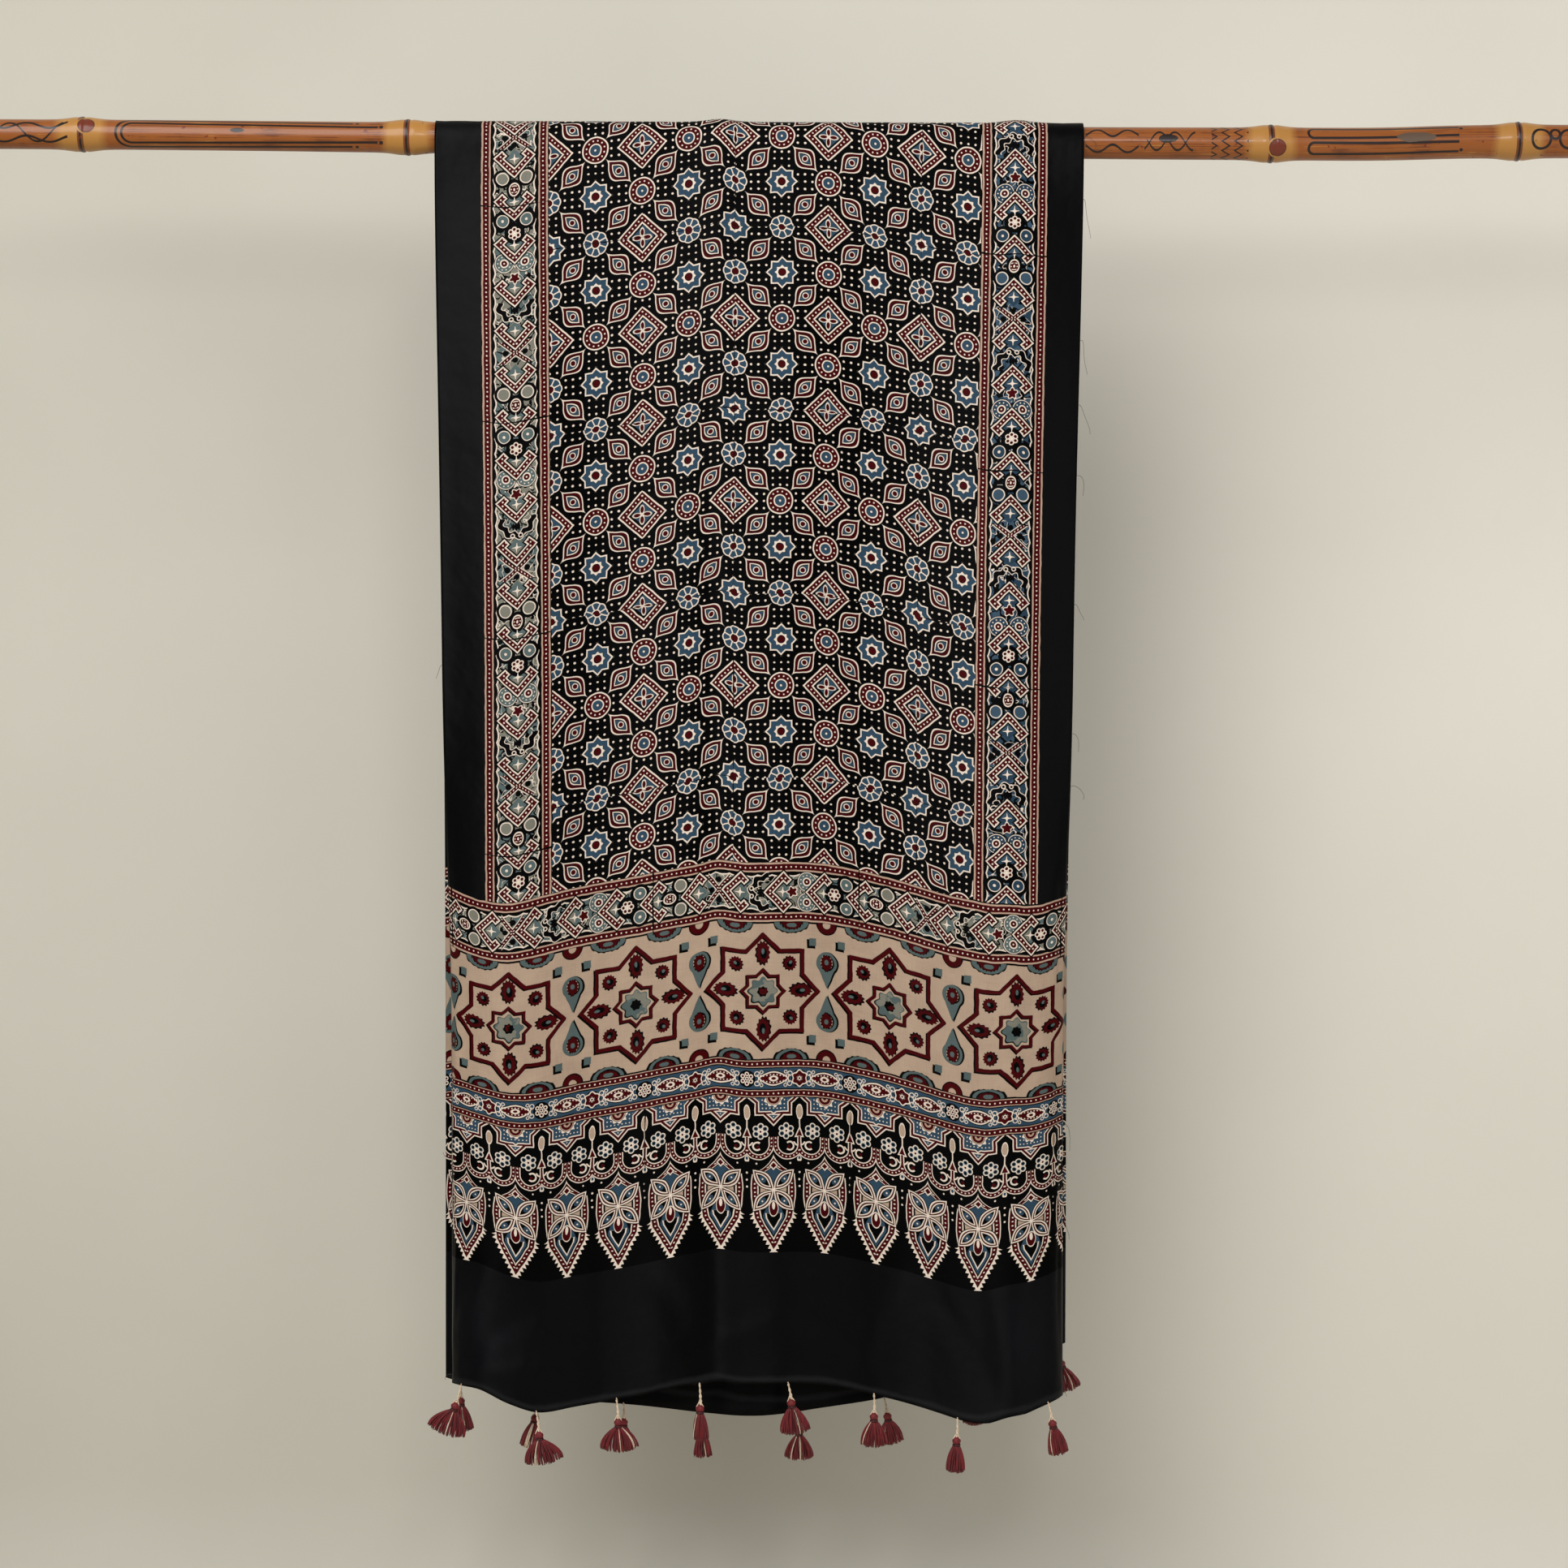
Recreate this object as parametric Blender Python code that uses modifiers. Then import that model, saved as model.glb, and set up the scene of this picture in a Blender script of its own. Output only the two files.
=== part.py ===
# Ajrakh stole hung over a bamboo rod: one printed cloth, the rod, and eight tassels along each hem.
# Metres, +Z up. The rod's axis is the X axis, and the cloth's front panel faces -Y.
# The cloth is worked out column by column: "across" runs over its width from the left selvedge,
# and each column hangs down the front, passes over the rod and hangs down the back.
import math
from collections import namedtuple

import bmesh
import bpy
from mathutils import Matrix, Vector

MM = 0.001
COLLECTION = "ajrakh_cloth_on_rod"

# Bamboo rod: a culm that thickens slightly from left to right, with a ring at each joint
ROD_LENGTH = 1.5
ROD_SIDES = 24
ROD_RADIUS_LEFT = 12.7 * MM
ROD_RADIUS_RIGHT = 14.4 * MM
ROD_STEPS = 60
RING_PLACES = (-0.611, -0.329, -0.058, 0.199, 0.419, 0.633)
RING_RISE = 2.4 * MM
RING_SPREAD = 15 * MM

# Cloth: a stole, cut with straight selvedges and hung by eye
CLOTH_WIDTH = 561 * MM
CLOTH_THICKNESS = 1 * MM
CLOTH_CENTRE_X = -24 * MM
ROD_CLEARANCE = 2 * MM
FRONT_HANG = 1075 * MM
FOLD_GROWTH = 0.28            # hang length over which the folds deepen
CURL_START, CURL_END = 0.45, 0.75
FRONT_FOLD_SHARE = 0.88
BACK_FOLD_SHARE = 0.8
BACK_CURL_SHARE = 0.2
FRONT_SWAY = 3.5 * MM         # sideways drift of each panel by its hem
BACK_SWAY = 1.5 * MM
COLUMNS = 26
EDGE_FINENESS = 0.35          # share of the column spacing that closes up towards the selvedges
FRONT_ROWS, ROD_ROWS, BACK_ROWS = 32, 10, 30
INTEGRATION_STEPS = 187       # 3 mm steps across the width

# One row for each station across the cloth, in millimetres and degrees.
# turn: how far the cloth turns towards the front there, curl: the selvedge rolling back below the middle,
# hem_drop: how much lower the front hem is than at the centre, back_hang: the back panel's length.
Station = namedtuple("Station", "across turn curl hem_drop back_hang")
STATIONS = (
    Station(across=0, turn=18, curl=48, hem_drop=3.5, back_hang=1078),
    Station(across=15, turn=30, curl=14, hem_drop=4, back_hang=1081),
    Station(across=35, turn=28, curl=0, hem_drop=6, back_hang=1085),
    Station(across=60, turn=0, curl=0, hem_drop=17, back_hang=1089),
    Station(across=85, turn=-20, curl=0, hem_drop=25, back_hang=1093),
    Station(across=115, turn=-28, curl=0, hem_drop=22.5, back_hang=1097),
    Station(across=170, turn=0, curl=0, hem_drop=15, back_hang=1102),
    Station(across=225, turn=23, curl=0, hem_drop=2.5, back_hang=1106),
    Station(across=280, turn=0, curl=0, hem_drop=0, back_hang=1108),
    Station(across=335, turn=-23, curl=0, hem_drop=1.5, back_hang=1103),
    Station(across=390, turn=0, curl=0, hem_drop=13.5, back_hang=1096),
    Station(across=445, turn=30, curl=0, hem_drop=26, back_hang=1080),
    Station(across=475, turn=17, curl=0, hem_drop=32, back_hang=1070),
    Station(across=500, turn=0, curl=0, hem_drop=30, back_hang=1061),
    Station(across=530, turn=-27, curl=0, hem_drop=20, back_hang=1053),
    Station(across=548, turn=-30, curl=-14, hem_drop=14.5, back_hang=1049),
    Station(across=561, turn=-18, curl=-48, hem_drop=11, back_hang=1045),
)

# Tassels: a sewn cord, a wrapped head and a fanned skirt, in millimetres and degrees.
# lean: sideways swing of the whole tassel, cord and skirt: their lengths, fan: half the skirt's width.
TASSEL_GAP = 0.9 * MM         # below the hem, so that the cord's end clears a sloping hem by 0.3 mm or more
TASSEL_SIDES = 12
HEAD_LENGTH = 7 * MM
Tassel = namedtuple("Tassel", "across lean cord fan skirt")
FRONT_TASSELS = (
    Tassel(across=13, lean=-16, cord=15, fan=18, skirt=23),
    Tassel(across=84, lean=7, cord=16, fan=18, skirt=22),
    Tassel(across=156, lean=4, cord=16, fan=17.5, skirt=22),
    Tassel(across=230, lean=1, cord=17, fan=7, skirt=24),
    Tassel(across=308, lean=9, cord=13, fan=13, skirt=24),
    Tassel(across=385, lean=0, cord=15, fan=12, skirt=23),
    Tassel(across=460, lean=-2, cord=15, fan=8, skirt=24),
    Tassel(across=542, lean=12, cord=14, fan=9, skirt=24),
)
BACK_TASSELS = (
    Tassel(across=14, lean=3, cord=13, fan=10, skirt=23),
    Tassel(across=87, lean=-12, cord=14, fan=8, skirt=23),
    Tassel(across=163, lean=0, cord=12, fan=10, skirt=22),
    Tassel(across=233, lean=2, cord=11, fan=8, skirt=21),
    Tassel(across=319, lean=1, cord=13, fan=13, skirt=22),
    Tassel(across=396, lean=10, cord=13, fan=11, skirt=21),
    Tassel(across=477, lean=0, cord=15, fan=10, skirt=23),
    Tassel(across=553, lean=14, cord=12, fan=12, skirt=21),
)

# Colours are linear RGB
BAMBOO_COLOUR = (0.36, 0.16, 0.05)
CLOTH_COLOUR = (0.012, 0.012, 0.015)
TASSEL_COLOUR = (0.09, 0.012, 0.012)


def clear_scene():
    for item in list(bpy.data.objects):
        bpy.data.objects.remove(item, do_unlink=True)


def make_material(name, colour, roughness):
    material = bpy.data.materials.new(name)
    material.use_nodes = True
    shader = material.node_tree.nodes["Principled BSDF"]
    shader.inputs["Base Color"].default_value = (*colour, 1.0)
    shader.inputs["Roughness"].default_value = roughness
    shader.inputs["Metallic"].default_value = 0.0
    return material


def add_object(name, bm, material, collection):
    mesh = bpy.data.meshes.new(name)
    bm.to_mesh(mesh)
    bm.free()
    mesh.materials.append(material)
    part = bpy.data.objects.new(name, mesh)
    collection.objects.link(part)
    return part


def smooth_step(low, high, value):
    share = min(max((value - low) / (high - low), 0.0), 1.0)
    return share * share * (3.0 - 2.0 * share)


def station_value(column, across):
    """A smooth curve through one column of STATIONS: cubic between rows, slopes from the rows on each side."""
    places = [row.across * MM for row in STATIONS]
    values = [getattr(row, column) for row in STATIONS]
    across = min(max(across, places[0]), places[-1])
    i = max(k for k in range(len(places) - 1) if places[k] <= across)
    before, after = max(i - 1, 0), min(i + 2, len(places) - 1)
    span = places[i + 1] - places[i]
    start_slope = (values[i + 1] - values[before]) / (places[i + 1] - places[before])
    end_slope = (values[after] - values[i]) / (places[after] - places[i])
    t = (across - places[i]) / span
    return (
        (2 * t**3 - 3 * t**2 + 1) * values[i]
        + (t**3 - 2 * t**2 + t) * span * start_slope
        + (3 * t**2 - 2 * t**3) * values[i + 1]
        + (t**3 - t**2) * span * end_slope
    )


def rod_radius(x):
    """The culm's radius at x: an even taper, with a rounded swelling at each ring."""
    along = x / ROD_LENGTH + 0.5
    radius = ROD_RADIUS_LEFT + (ROD_RADIUS_RIGHT - ROD_RADIUS_LEFT) * along
    swelling = sum(math.exp(-(((x - ring) / RING_SPREAD) ** 2)) for ring in RING_PLACES)
    return radius + RING_RISE * swelling


def wrap_radius(across):
    """Radius of the cloth's middle surface where it passes over the rod."""
    x = CLOTH_CENTRE_X - CLOTH_WIDTH / 2 + across
    return rod_radius(x) + ROD_CLEARANCE + CLOTH_THICKNESS / 2


def cross_section(hang, is_front):
    """Points (x, y) across one panel at one height, found by walking over the width in equal steps.
    Each step turns by the fold angle there, so the width of cloth stays the same."""
    growth = 1.0 - math.exp(-hang / FOLD_GROWTH)
    curl_growth = smooth_step(CURL_START, CURL_END, hang)
    fold_share = growth * (FRONT_FOLD_SHARE if is_front else BACK_FOLD_SHARE)
    curl_share = curl_growth if is_front else curl_growth * BACK_CURL_SHARE
    step = CLOTH_WIDTH / INTEGRATION_STEPS
    points = [(0.0, 0.0)]
    for k in range(INTEGRATION_STEPS):
        across = (k + 0.5) * step
        turn = fold_share * station_value("turn", across) + curl_share * station_value("curl", across)
        x, y = points[-1]
        points.append((x + step * math.cos(math.radians(turn)), y - step * math.sin(math.radians(turn))))
    sway = (FRONT_SWAY if is_front else BACK_SWAY) * (hang / FRONT_HANG) ** 2
    move_x = CLOTH_CENTRE_X + sway - (points[0][0] + points[-1][0]) / 2
    middle_y = sum(y for _, y in points) / len(points)
    return [(x + move_x, y - middle_y) for x, y in points]


def section_point(section, across):
    place = min(max(across / CLOTH_WIDTH, 0.0), 1.0) * INTEGRATION_STEPS
    k = min(int(place), INTEGRATION_STEPS - 1)
    share = place - k
    (x0, y0), (x1, y1) = section[k], section[k + 1]
    return x0 + (x1 - x0) * share, y0 + (y1 - y0) * share


def front_hang(across):
    return FRONT_HANG + station_value("hem_drop", across) * MM


def back_hang(across):
    return station_value("back_hang", across) * MM


def panel_point(across, hang, is_front, section):
    """A point of a hanging panel: level with the rod's side at hang 0, moved by the folds below it."""
    x, fold = section_point(section, across)
    side = -1.0 if is_front else 1.0
    return Vector((x, side * wrap_radius(across) + fold, -hang))


def rod_point(across, share, section):
    """A point on the half turn over the rod, from the front (share 0) to the back (share 1)."""
    angle = math.pi * share
    radius = wrap_radius(across)
    x, _ = section_point(section, across)
    return Vector((x, -radius * math.cos(angle), radius * math.sin(angle)))


def column_across(share):
    """Place across the cloth for a share of the columns, with the columns closer near the selvedges."""
    eased = 0.5 - 0.5 * math.cos(math.pi * share)
    return CLOTH_WIDTH * ((1.0 - EDGE_FINENESS) * share + EDGE_FINENESS * eased)


def make_cloth(material, collection):
    rows = FRONT_ROWS + ROD_ROWS + BACK_ROWS
    bm = bmesh.new()
    bmesh.ops.create_grid(bm, x_segments=COLUMNS, y_segments=rows, size=1.0)
    top_section = cross_section(0.0, True)
    sections = {}
    for vertex in bm.verts:
        across = column_across((vertex.co.x + 1.0) / 2.0)
        row = round((vertex.co.y + 1.0) / 2.0 * rows)
        if row < FRONT_ROWS:
            share = 1.0 - row / FRONT_ROWS
            key = (row, True)
            if key not in sections:
                sections[key] = cross_section(FRONT_HANG * share, True)
            vertex.co = panel_point(across, front_hang(across) * share, True, sections[key])
        elif row <= FRONT_ROWS + ROD_ROWS:
            vertex.co = rod_point(across, (row - FRONT_ROWS) / ROD_ROWS, top_section)
        else:
            share = (row - FRONT_ROWS - ROD_ROWS) / BACK_ROWS
            key = (row, False)
            if key not in sections:
                sections[key] = cross_section(FRONT_HANG * share, False)
            vertex.co = panel_point(across, back_hang(across) * share, False, sections[key])
    bmesh.ops.recalc_face_normals(bm, faces=bm.faces)
    cloth = add_object("cloth", bm, material, collection)
    solidify = cloth.modifiers.new("thickness", "SOLIDIFY")
    solidify.thickness = CLOTH_THICKNESS
    solidify.offset = 0.0
    return cloth


def make_rod(material, collection):
    """The culm is a profile turned about Z, then laid along X."""
    bm = bmesh.new()
    places = [ROD_LENGTH * (0.5 - k / ROD_STEPS) for k in range(ROD_STEPS + 1)]
    places = sorted({*places, *RING_PLACES}, reverse=True)
    outline = [(0.0, places[0])] + [(rod_radius(place), place) for place in places] + [(0.0, places[-1])]
    corners = [bm.verts.new((radius, 0.0, place)) for radius, place in outline]
    for first, second in zip(corners, corners[1:]):
        bm.edges.new((first, second))
    rod = add_object("bamboo_rod", bm, material, collection)
    rod.rotation_euler = (0.0, math.pi / 2, 0.0)
    turn = rod.modifiers.new("turn", "SCREW")
    turn.axis = "Z"
    turn.angle = 2.0 * math.pi
    turn.steps = ROD_SIDES
    turn.render_steps = ROD_SIDES
    turn.use_merge_vertices = True
    turn.merge_threshold = 0.0001
    return rod


def tassel_rings(row):
    """Rings down a tassel, from the cord's top: (drop, half width, half depth)."""
    cord, fan, skirt = row.cord * MM, row.fan * MM, row.skirt * MM
    neck = cord + HEAD_LENGTH
    neck_radius = 3.0 * MM
    return (
        (0.0, 1.0 * MM, 1.0 * MM),
        (cord - 1.0 * MM, 1.5 * MM, 1.5 * MM),
        (cord + 0.5 * MM, 3.0 * MM, 3.0 * MM),
        (cord + 3.5 * MM, 3.8 * MM, 3.8 * MM),
        (neck, neck_radius, neck_radius),
        (neck + 0.25 * skirt, neck_radius + 0.45 * (fan - neck_radius), 4.2 * MM),
        (neck + 0.6 * skirt, neck_radius + 0.82 * (fan - neck_radius), 5.0 * MM),
        (neck + skirt, fan, 5.5 * MM),
    )


def make_tassel(name, top, row, material, collection):
    """A loft down unlike rings: round cord, round head and a flattened, fanned skirt."""
    bm = bmesh.new()
    rings = []
    for drop, half_width, half_depth in tassel_rings(row):
        circle = bmesh.ops.create_circle(bm, cap_ends=False, segments=TASSEL_SIDES, radius=1.0)["verts"]
        for vertex in circle:
            vertex.co = Vector((vertex.co.x * half_width, vertex.co.y * half_depth, -drop))
        rings.append(circle)
    for upper, lower in zip(rings, rings[1:]):
        for k in range(TASSEL_SIDES):
            following = (k + 1) % TASSEL_SIDES
            bm.faces.new((upper[k], upper[following], lower[following], lower[k]))
    bm.faces.new(rings[0])
    bm.faces.new(rings[-1])
    bmesh.ops.recalc_face_normals(bm, faces=bm.faces)
    tassel = add_object(name, bm, material, collection)
    tassel.matrix_world = Matrix.Translation(top) @ Matrix.Rotation(-math.radians(row.lean), 4, "Y")
    return tassel


def make_tassels(material, collection):
    for side, rows, is_front, hang_at in (
        ("front", FRONT_TASSELS, True, front_hang),
        ("back", BACK_TASSELS, False, back_hang),
    ):
        section = cross_section(FRONT_HANG, is_front)
        for number, row in enumerate(rows, start=1):
            across = row.across * MM
            hem = panel_point(across, hang_at(across), is_front, section)
            top = hem - Vector((0.0, 0.0, TASSEL_GAP))
            make_tassel(f"tassel_{side}_{number}", top, row, material, collection)


def main():
    clear_scene()
    collection = bpy.data.collections.new(COLLECTION)
    bpy.context.scene.collection.children.link(collection)
    bamboo = make_material("bamboo", BAMBOO_COLOUR, 0.3)
    silk = make_material("printed_silk", CLOTH_COLOUR, 0.5)
    floss = make_material("tassel_floss", TASSEL_COLOUR, 0.7)
    make_rod(bamboo, collection)
    make_cloth(silk, collection)
    make_tassels(floss, collection)


main()
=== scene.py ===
# A block-printed ajrakh stole hung over a bamboo rod, with eight tassels along each hem.
# Metres, +Z up, the rod along X and the front panel facing -Y. The print is drawn by the materials, in millimetres.
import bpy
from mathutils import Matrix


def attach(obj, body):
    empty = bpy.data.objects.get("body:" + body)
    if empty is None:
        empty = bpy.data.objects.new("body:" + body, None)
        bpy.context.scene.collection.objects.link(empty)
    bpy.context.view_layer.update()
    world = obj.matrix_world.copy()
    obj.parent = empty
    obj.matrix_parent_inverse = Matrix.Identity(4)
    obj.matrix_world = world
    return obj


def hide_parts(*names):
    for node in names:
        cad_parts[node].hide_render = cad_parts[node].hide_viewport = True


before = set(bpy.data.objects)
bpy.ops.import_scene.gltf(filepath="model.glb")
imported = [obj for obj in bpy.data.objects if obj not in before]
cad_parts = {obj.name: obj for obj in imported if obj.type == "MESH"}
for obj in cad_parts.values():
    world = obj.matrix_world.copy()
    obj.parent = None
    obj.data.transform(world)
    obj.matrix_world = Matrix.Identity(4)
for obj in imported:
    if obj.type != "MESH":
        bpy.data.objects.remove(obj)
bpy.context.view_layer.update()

import ast
import math
import operator

import bmesh
import bpy
import numpy as np
from mathutils import Vector

mm = 0.001


roomLook = {
    "cameraPlace": (0.0, -3.21, -0.558), "cameraRoll": -0.27, "lens": 84.92,
    "keyPlace": (-1.15, -2.4, 1.2), "keySize": 2.4, "keyPower": 70,
    "fillPlace": (2.3, -2.5, 0.5), "fillSize": 2.4, "fillPower": 16,
    "frontPlace": (0.35, -2.9, 0.7), "frontSize": 0.7, "frontPower": 11,
    "skyColour": "#e4e6ea", "skyStrength": 0.4,
    "wallDistance": 0.28, "floorHeight": -1.42, "sweepRadius": 0.2, "roomHalf": 3.2,
    "wallTop": 1.6, "aim": (0, 0, -0.55),
}


def toLinear(code):
    # sRGB hex to linear light: c / 12.92 when small, otherwise ((c + 0.055) / 1.055) to the power 2.4
    parts = [int(code[k:k + 2], 16) / 255 for k in (1, 3, 5)]
    return tuple(c / 12.92 if c <= 0.04045 else ((c + 0.055) / 1.055) ** 2.4 for c in parts) + (1.0,)


def feed(tree, node, inputs):
    # Each input gets a number, a colour, a node's output, or a node, which stands for its first output
    for key, value in inputs.items():
        if isinstance(value, bpy.types.Node):
            value = value.outputs[0]
        if isinstance(value, bpy.types.NodeSocket):
            tree.links.new(value, node.inputs[key])
        else:
            node.inputs[key].default_value = value


def addNode(tree, kind, settings=None, inputs=None):
    # One node: its settings by name, then its inputs
    node = tree.nodes.new("ShaderNode" + kind)
    for name, value in (settings or {}).items():
        setattr(node, name, value)
    feed(tree, node, inputs or {})
    return node


def newMaterial(name):
    material = bpy.data.materials.new(name)
    material.use_nodes = True
    return material, material.node_tree, material.node_tree.nodes["Principled BSDF"]


def aimAt(thing, target):
    thing.rotation_euler = (Vector(target) - thing.location).to_track_quat("-Z", "Y").to_euler()


def setUpRoom(look):
    scene = bpy.context.scene
    scene.view_settings.view_transform = "Standard"
    camera = bpy.data.objects.new("camera", bpy.data.cameras.new("camera"))
    camera.data.lens = look["lens"]
    camera.location = look["cameraPlace"]
    camera.rotation_euler = (math.pi / 2, math.radians(look["cameraRoll"]), 0)
    scene.collection.objects.link(camera)
    scene.camera = camera
    for name in ("key", "fill", "front"):
        light = bpy.data.objects.new(name, bpy.data.lights.new(name, "AREA"))
        light.data.shape = "DISK"
        light.data.size = look[name + "Size"]
        light.data.energy = look[name + "Power"]
        light.location = look[name + "Place"]
        aimAt(light, look["aim"])
        scene.collection.objects.link(light)
    world = bpy.data.worlds.new("studio")
    scene.world = world
    world.use_nodes = True
    world.node_tree.nodes["Background"].inputs[0].default_value = toLinear(look["skyColour"])
    world.node_tree.nodes["Background"].inputs[1].default_value = look["skyStrength"]


def makeRoom(look):
    # Wall and floor in one sheet: straight down the wall, a quarter circle into the floor, then forwards
    turn = np.linspace(0, math.pi / 2, 9)
    r, floor, wall, half = look["sweepRadius"], look["floorHeight"], look["wallDistance"], look["roomHalf"]
    y = np.concatenate([[wall], wall - r + r * np.cos(turn), [-half * 1.4]])
    z = np.concatenate([[look["wallTop"]], floor + r - r * np.sin(turn), [floor]])
    points = np.array([[(x, b, c) for b, c in zip(y, z)] for x in (-half, half)])
    room = surfaceObject("wall_and_floor", points, [makePlaster()])


def makePlaster():
    # Limewashed plaster, trowelled: matt and pale, with soft cloudy patches, the faintest grain, and painted light:
    # lighter towards +x and darker above and below z = -0.5
    # It is one-sided: from behind it is clear, so that the back of the cloth can be seen
    material, tree, shader = newMaterial("limewashed_plaster")
    place = addNode(tree, "TexCoord").outputs["Object"]
    clouds = addNode(tree, "TexNoise", {}, {"Vector": place, "Scale": 2.2, "Detail": 5.0})
    split = addNode(tree, "SeparateXYZ", {}, {0: place})
    known = {"x": split.outputs[0], "z": split.outputs[2], "clouds": clouds}
    # painted light: 0.25 * x makes the wall lighter to the right, and - 0.2 * abs(z + 0.5) makes it darker towards
    # its top and bottom; the clouds are the plaster's own patchiness
    drawLines(tree, "tone = 0.55 + 0.25 * clouds + 0.25 * x - 0.2 * abs(z + 0.5)", known, {}, None)
    shade = addNode(tree, "ValToRGB", {}, {0: known["tone"]})
    shade.color_ramp.elements[0].color = toLinear("#a5a08f")
    shade.color_ramp.elements[1].color = toLinear("#efeadd")
    grain = addNode(tree, "TexNoise", {}, {"Vector": place, "Scale": 220.0, "Detail": 3.0})
    bump = addNode(tree, "Bump", {}, {"Strength": 0.12, "Distance": 0.0004, "Height": grain})
    feed(tree, shader, {"Base Color": shade, "Normal": bump, "Roughness": 0.9})
    behind = addNode(tree, "NewGeometry").outputs["Backfacing"]
    oneWay = addNode(tree, "MixShader", {}, {0: behind, 1: shader, 2: addNode(tree, "BsdfTransparent")})
    feed(tree, tree.nodes["Material Output"], {"Surface": oneWay})
    return material


def gridFaces(rows, columns, start=0, around=False):
    # Corner numbers of the quads of a grid, numbered row by row; around joins the last column to the first
    across = columns if around else columns - 1
    r, c = np.meshgrid(np.arange(rows - 1), np.arange(across), indexing="ij")
    a, b = r * columns + c, r * columns + (c + 1) % columns
    return (np.stack([a, b, b + columns, a + columns], -1).reshape(-1, 4)) + start


def buildObject(name, points, faces, materials, kinds=None, maps=None, smooth=True):
    # points: n x 3, faces: m x 4 corner numbers, kinds: a material number for each face, maps: name -> u, v per point
    mesh = bpy.data.meshes.new(name)
    mesh.vertices.add(len(points))
    mesh.vertices.foreach_set("co", np.asarray(points, np.float32).ravel())
    corners = np.asarray(faces, np.int32)
    keep = corners[:, 3] >= 0
    sizes = np.where(keep, 4, 3)
    mesh.loops.add(int(sizes.sum()))
    flat = corners.ravel()[(corners >= 0).ravel()]
    mesh.loops.foreach_set("vertex_index", flat)
    mesh.polygons.add(len(corners))
    mesh.polygons.foreach_set("loop_start", np.concatenate([[0], np.cumsum(sizes)[:-1]]).astype(np.int32))
    if kinds is not None:
        mesh.polygons.foreach_set("material_index", np.asarray(kinds, np.int32))
    mesh.polygons.foreach_set("use_smooth", np.full(len(corners), smooth))
    for mapName, uv in (maps or {}).items():
        layer = mesh.uv_layers.new(name=mapName)
        layer.data.foreach_set("uv", np.asarray(uv, np.float32)[flat].ravel())
    mesh.update(calc_edges=True)
    mesh.validate()
    for material in materials:
        mesh.materials.append(material)
    item = bpy.data.objects.new(name, mesh)
    bpy.context.scene.collection.objects.link(item)
    return item


def surfaceObject(name, points, materials, kinds=None, maps=None):
    # points: rows x columns x 3, one open surface
    rows, columns = points.shape[:2]
    return buildObject(name, points.reshape(-1, 3), gridFaces(rows, columns), materials, kinds, maps)


def smoothStep(low, high, value):
    share = np.clip((value - low) / (high - low), 0, 1)
    return share * share * (3 - 2 * share)


def tubes(paths, radii, sides):
    # Many closed tubes at once. paths: tubes x stations x 3, radii: tubes x stations.
    # Each ring is the station plus radius times (side * cos + up * sin), side and up square to the path there.
    count, stations = paths.shape[:2]
    along = np.gradient(paths, axis=1)
    along /= np.linalg.norm(along, axis=2, keepdims=True) + 1e-12
    guide = np.where(np.abs(along[..., 1:2]) > 0.9, [[[1.0, 0, 0]]], [[[0.0, 1, 0]]])
    side = np.cross(along, guide)
    side /= np.linalg.norm(side, axis=2, keepdims=True)
    up = np.cross(side, along)
    turn = np.linspace(0, 2 * math.pi, sides, endpoint=False)
    ring = side[:, :, None] * np.cos(turn)[:, None] + up[:, :, None] * np.sin(turn)[:, None]
    points = paths[:, :, None] + ring * radii[:, :, None, None]
    single = gridFaces(stations, sides, around=True)[:, ::-1]
    if sides == 4:
        caps = np.array([[0, 1, 2, 3]])
    else:
        caps = np.array([[0, k, k + 1, -1] for k in range(1, sides - 1)])
    last = (stations - 1) * sides
    ends = np.where(caps < 0, -1, caps + last)[:, ::-1]
    ends = np.where(ends[:, :1] < 0, np.roll(ends, -1, axis=1), ends)
    faces = np.concatenate([single, caps, ends])
    moved = faces[None] + (np.arange(count) * stations * sides)[:, None, None]
    moved = np.where(faces[None] < 0, -1, moved)
    return points.reshape(-1, 3), moved.reshape(-1, 4)


rodLook = {
    "length": 1.5, "sides": 56, "radiusLeft": 12.7 * mm, "radiusRight": 14.4 * mm,
    "rings": (-0.611, -0.329, -0.058, 0.199, 0.419, 0.633), "ringRise": 2.4 * mm, "ringSpread": 15 * mm,
    "barkRadius": 13.6,      # millimetres of bark to a radian of turn, for the drawing
    "bendAt": (-0.75, -0.676, -0.46, -0.29, 0.0, 0.26, 0.51, 0.65, 0.75),
    "bend": (2.2, 3.0, 2.2, 1.4, 0.0, -0.5, -0.7, 3.0, 2.6),
}


def rodRadius(x):
    # An even taper plus a rounded swelling, rise * exp(-(distance / spread)^2), at each ring
    rod = rodLook
    radius = rod["radiusLeft"] + (rod["radiusRight"] - rod["radiusLeft"]) * (x / rod["length"] + 0.5)
    gaps = (x[..., None] - np.array(rod["rings"])) / rod["ringSpread"]
    return radius + rod["ringRise"] * np.exp(-gaps ** 2).sum(-1)


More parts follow.
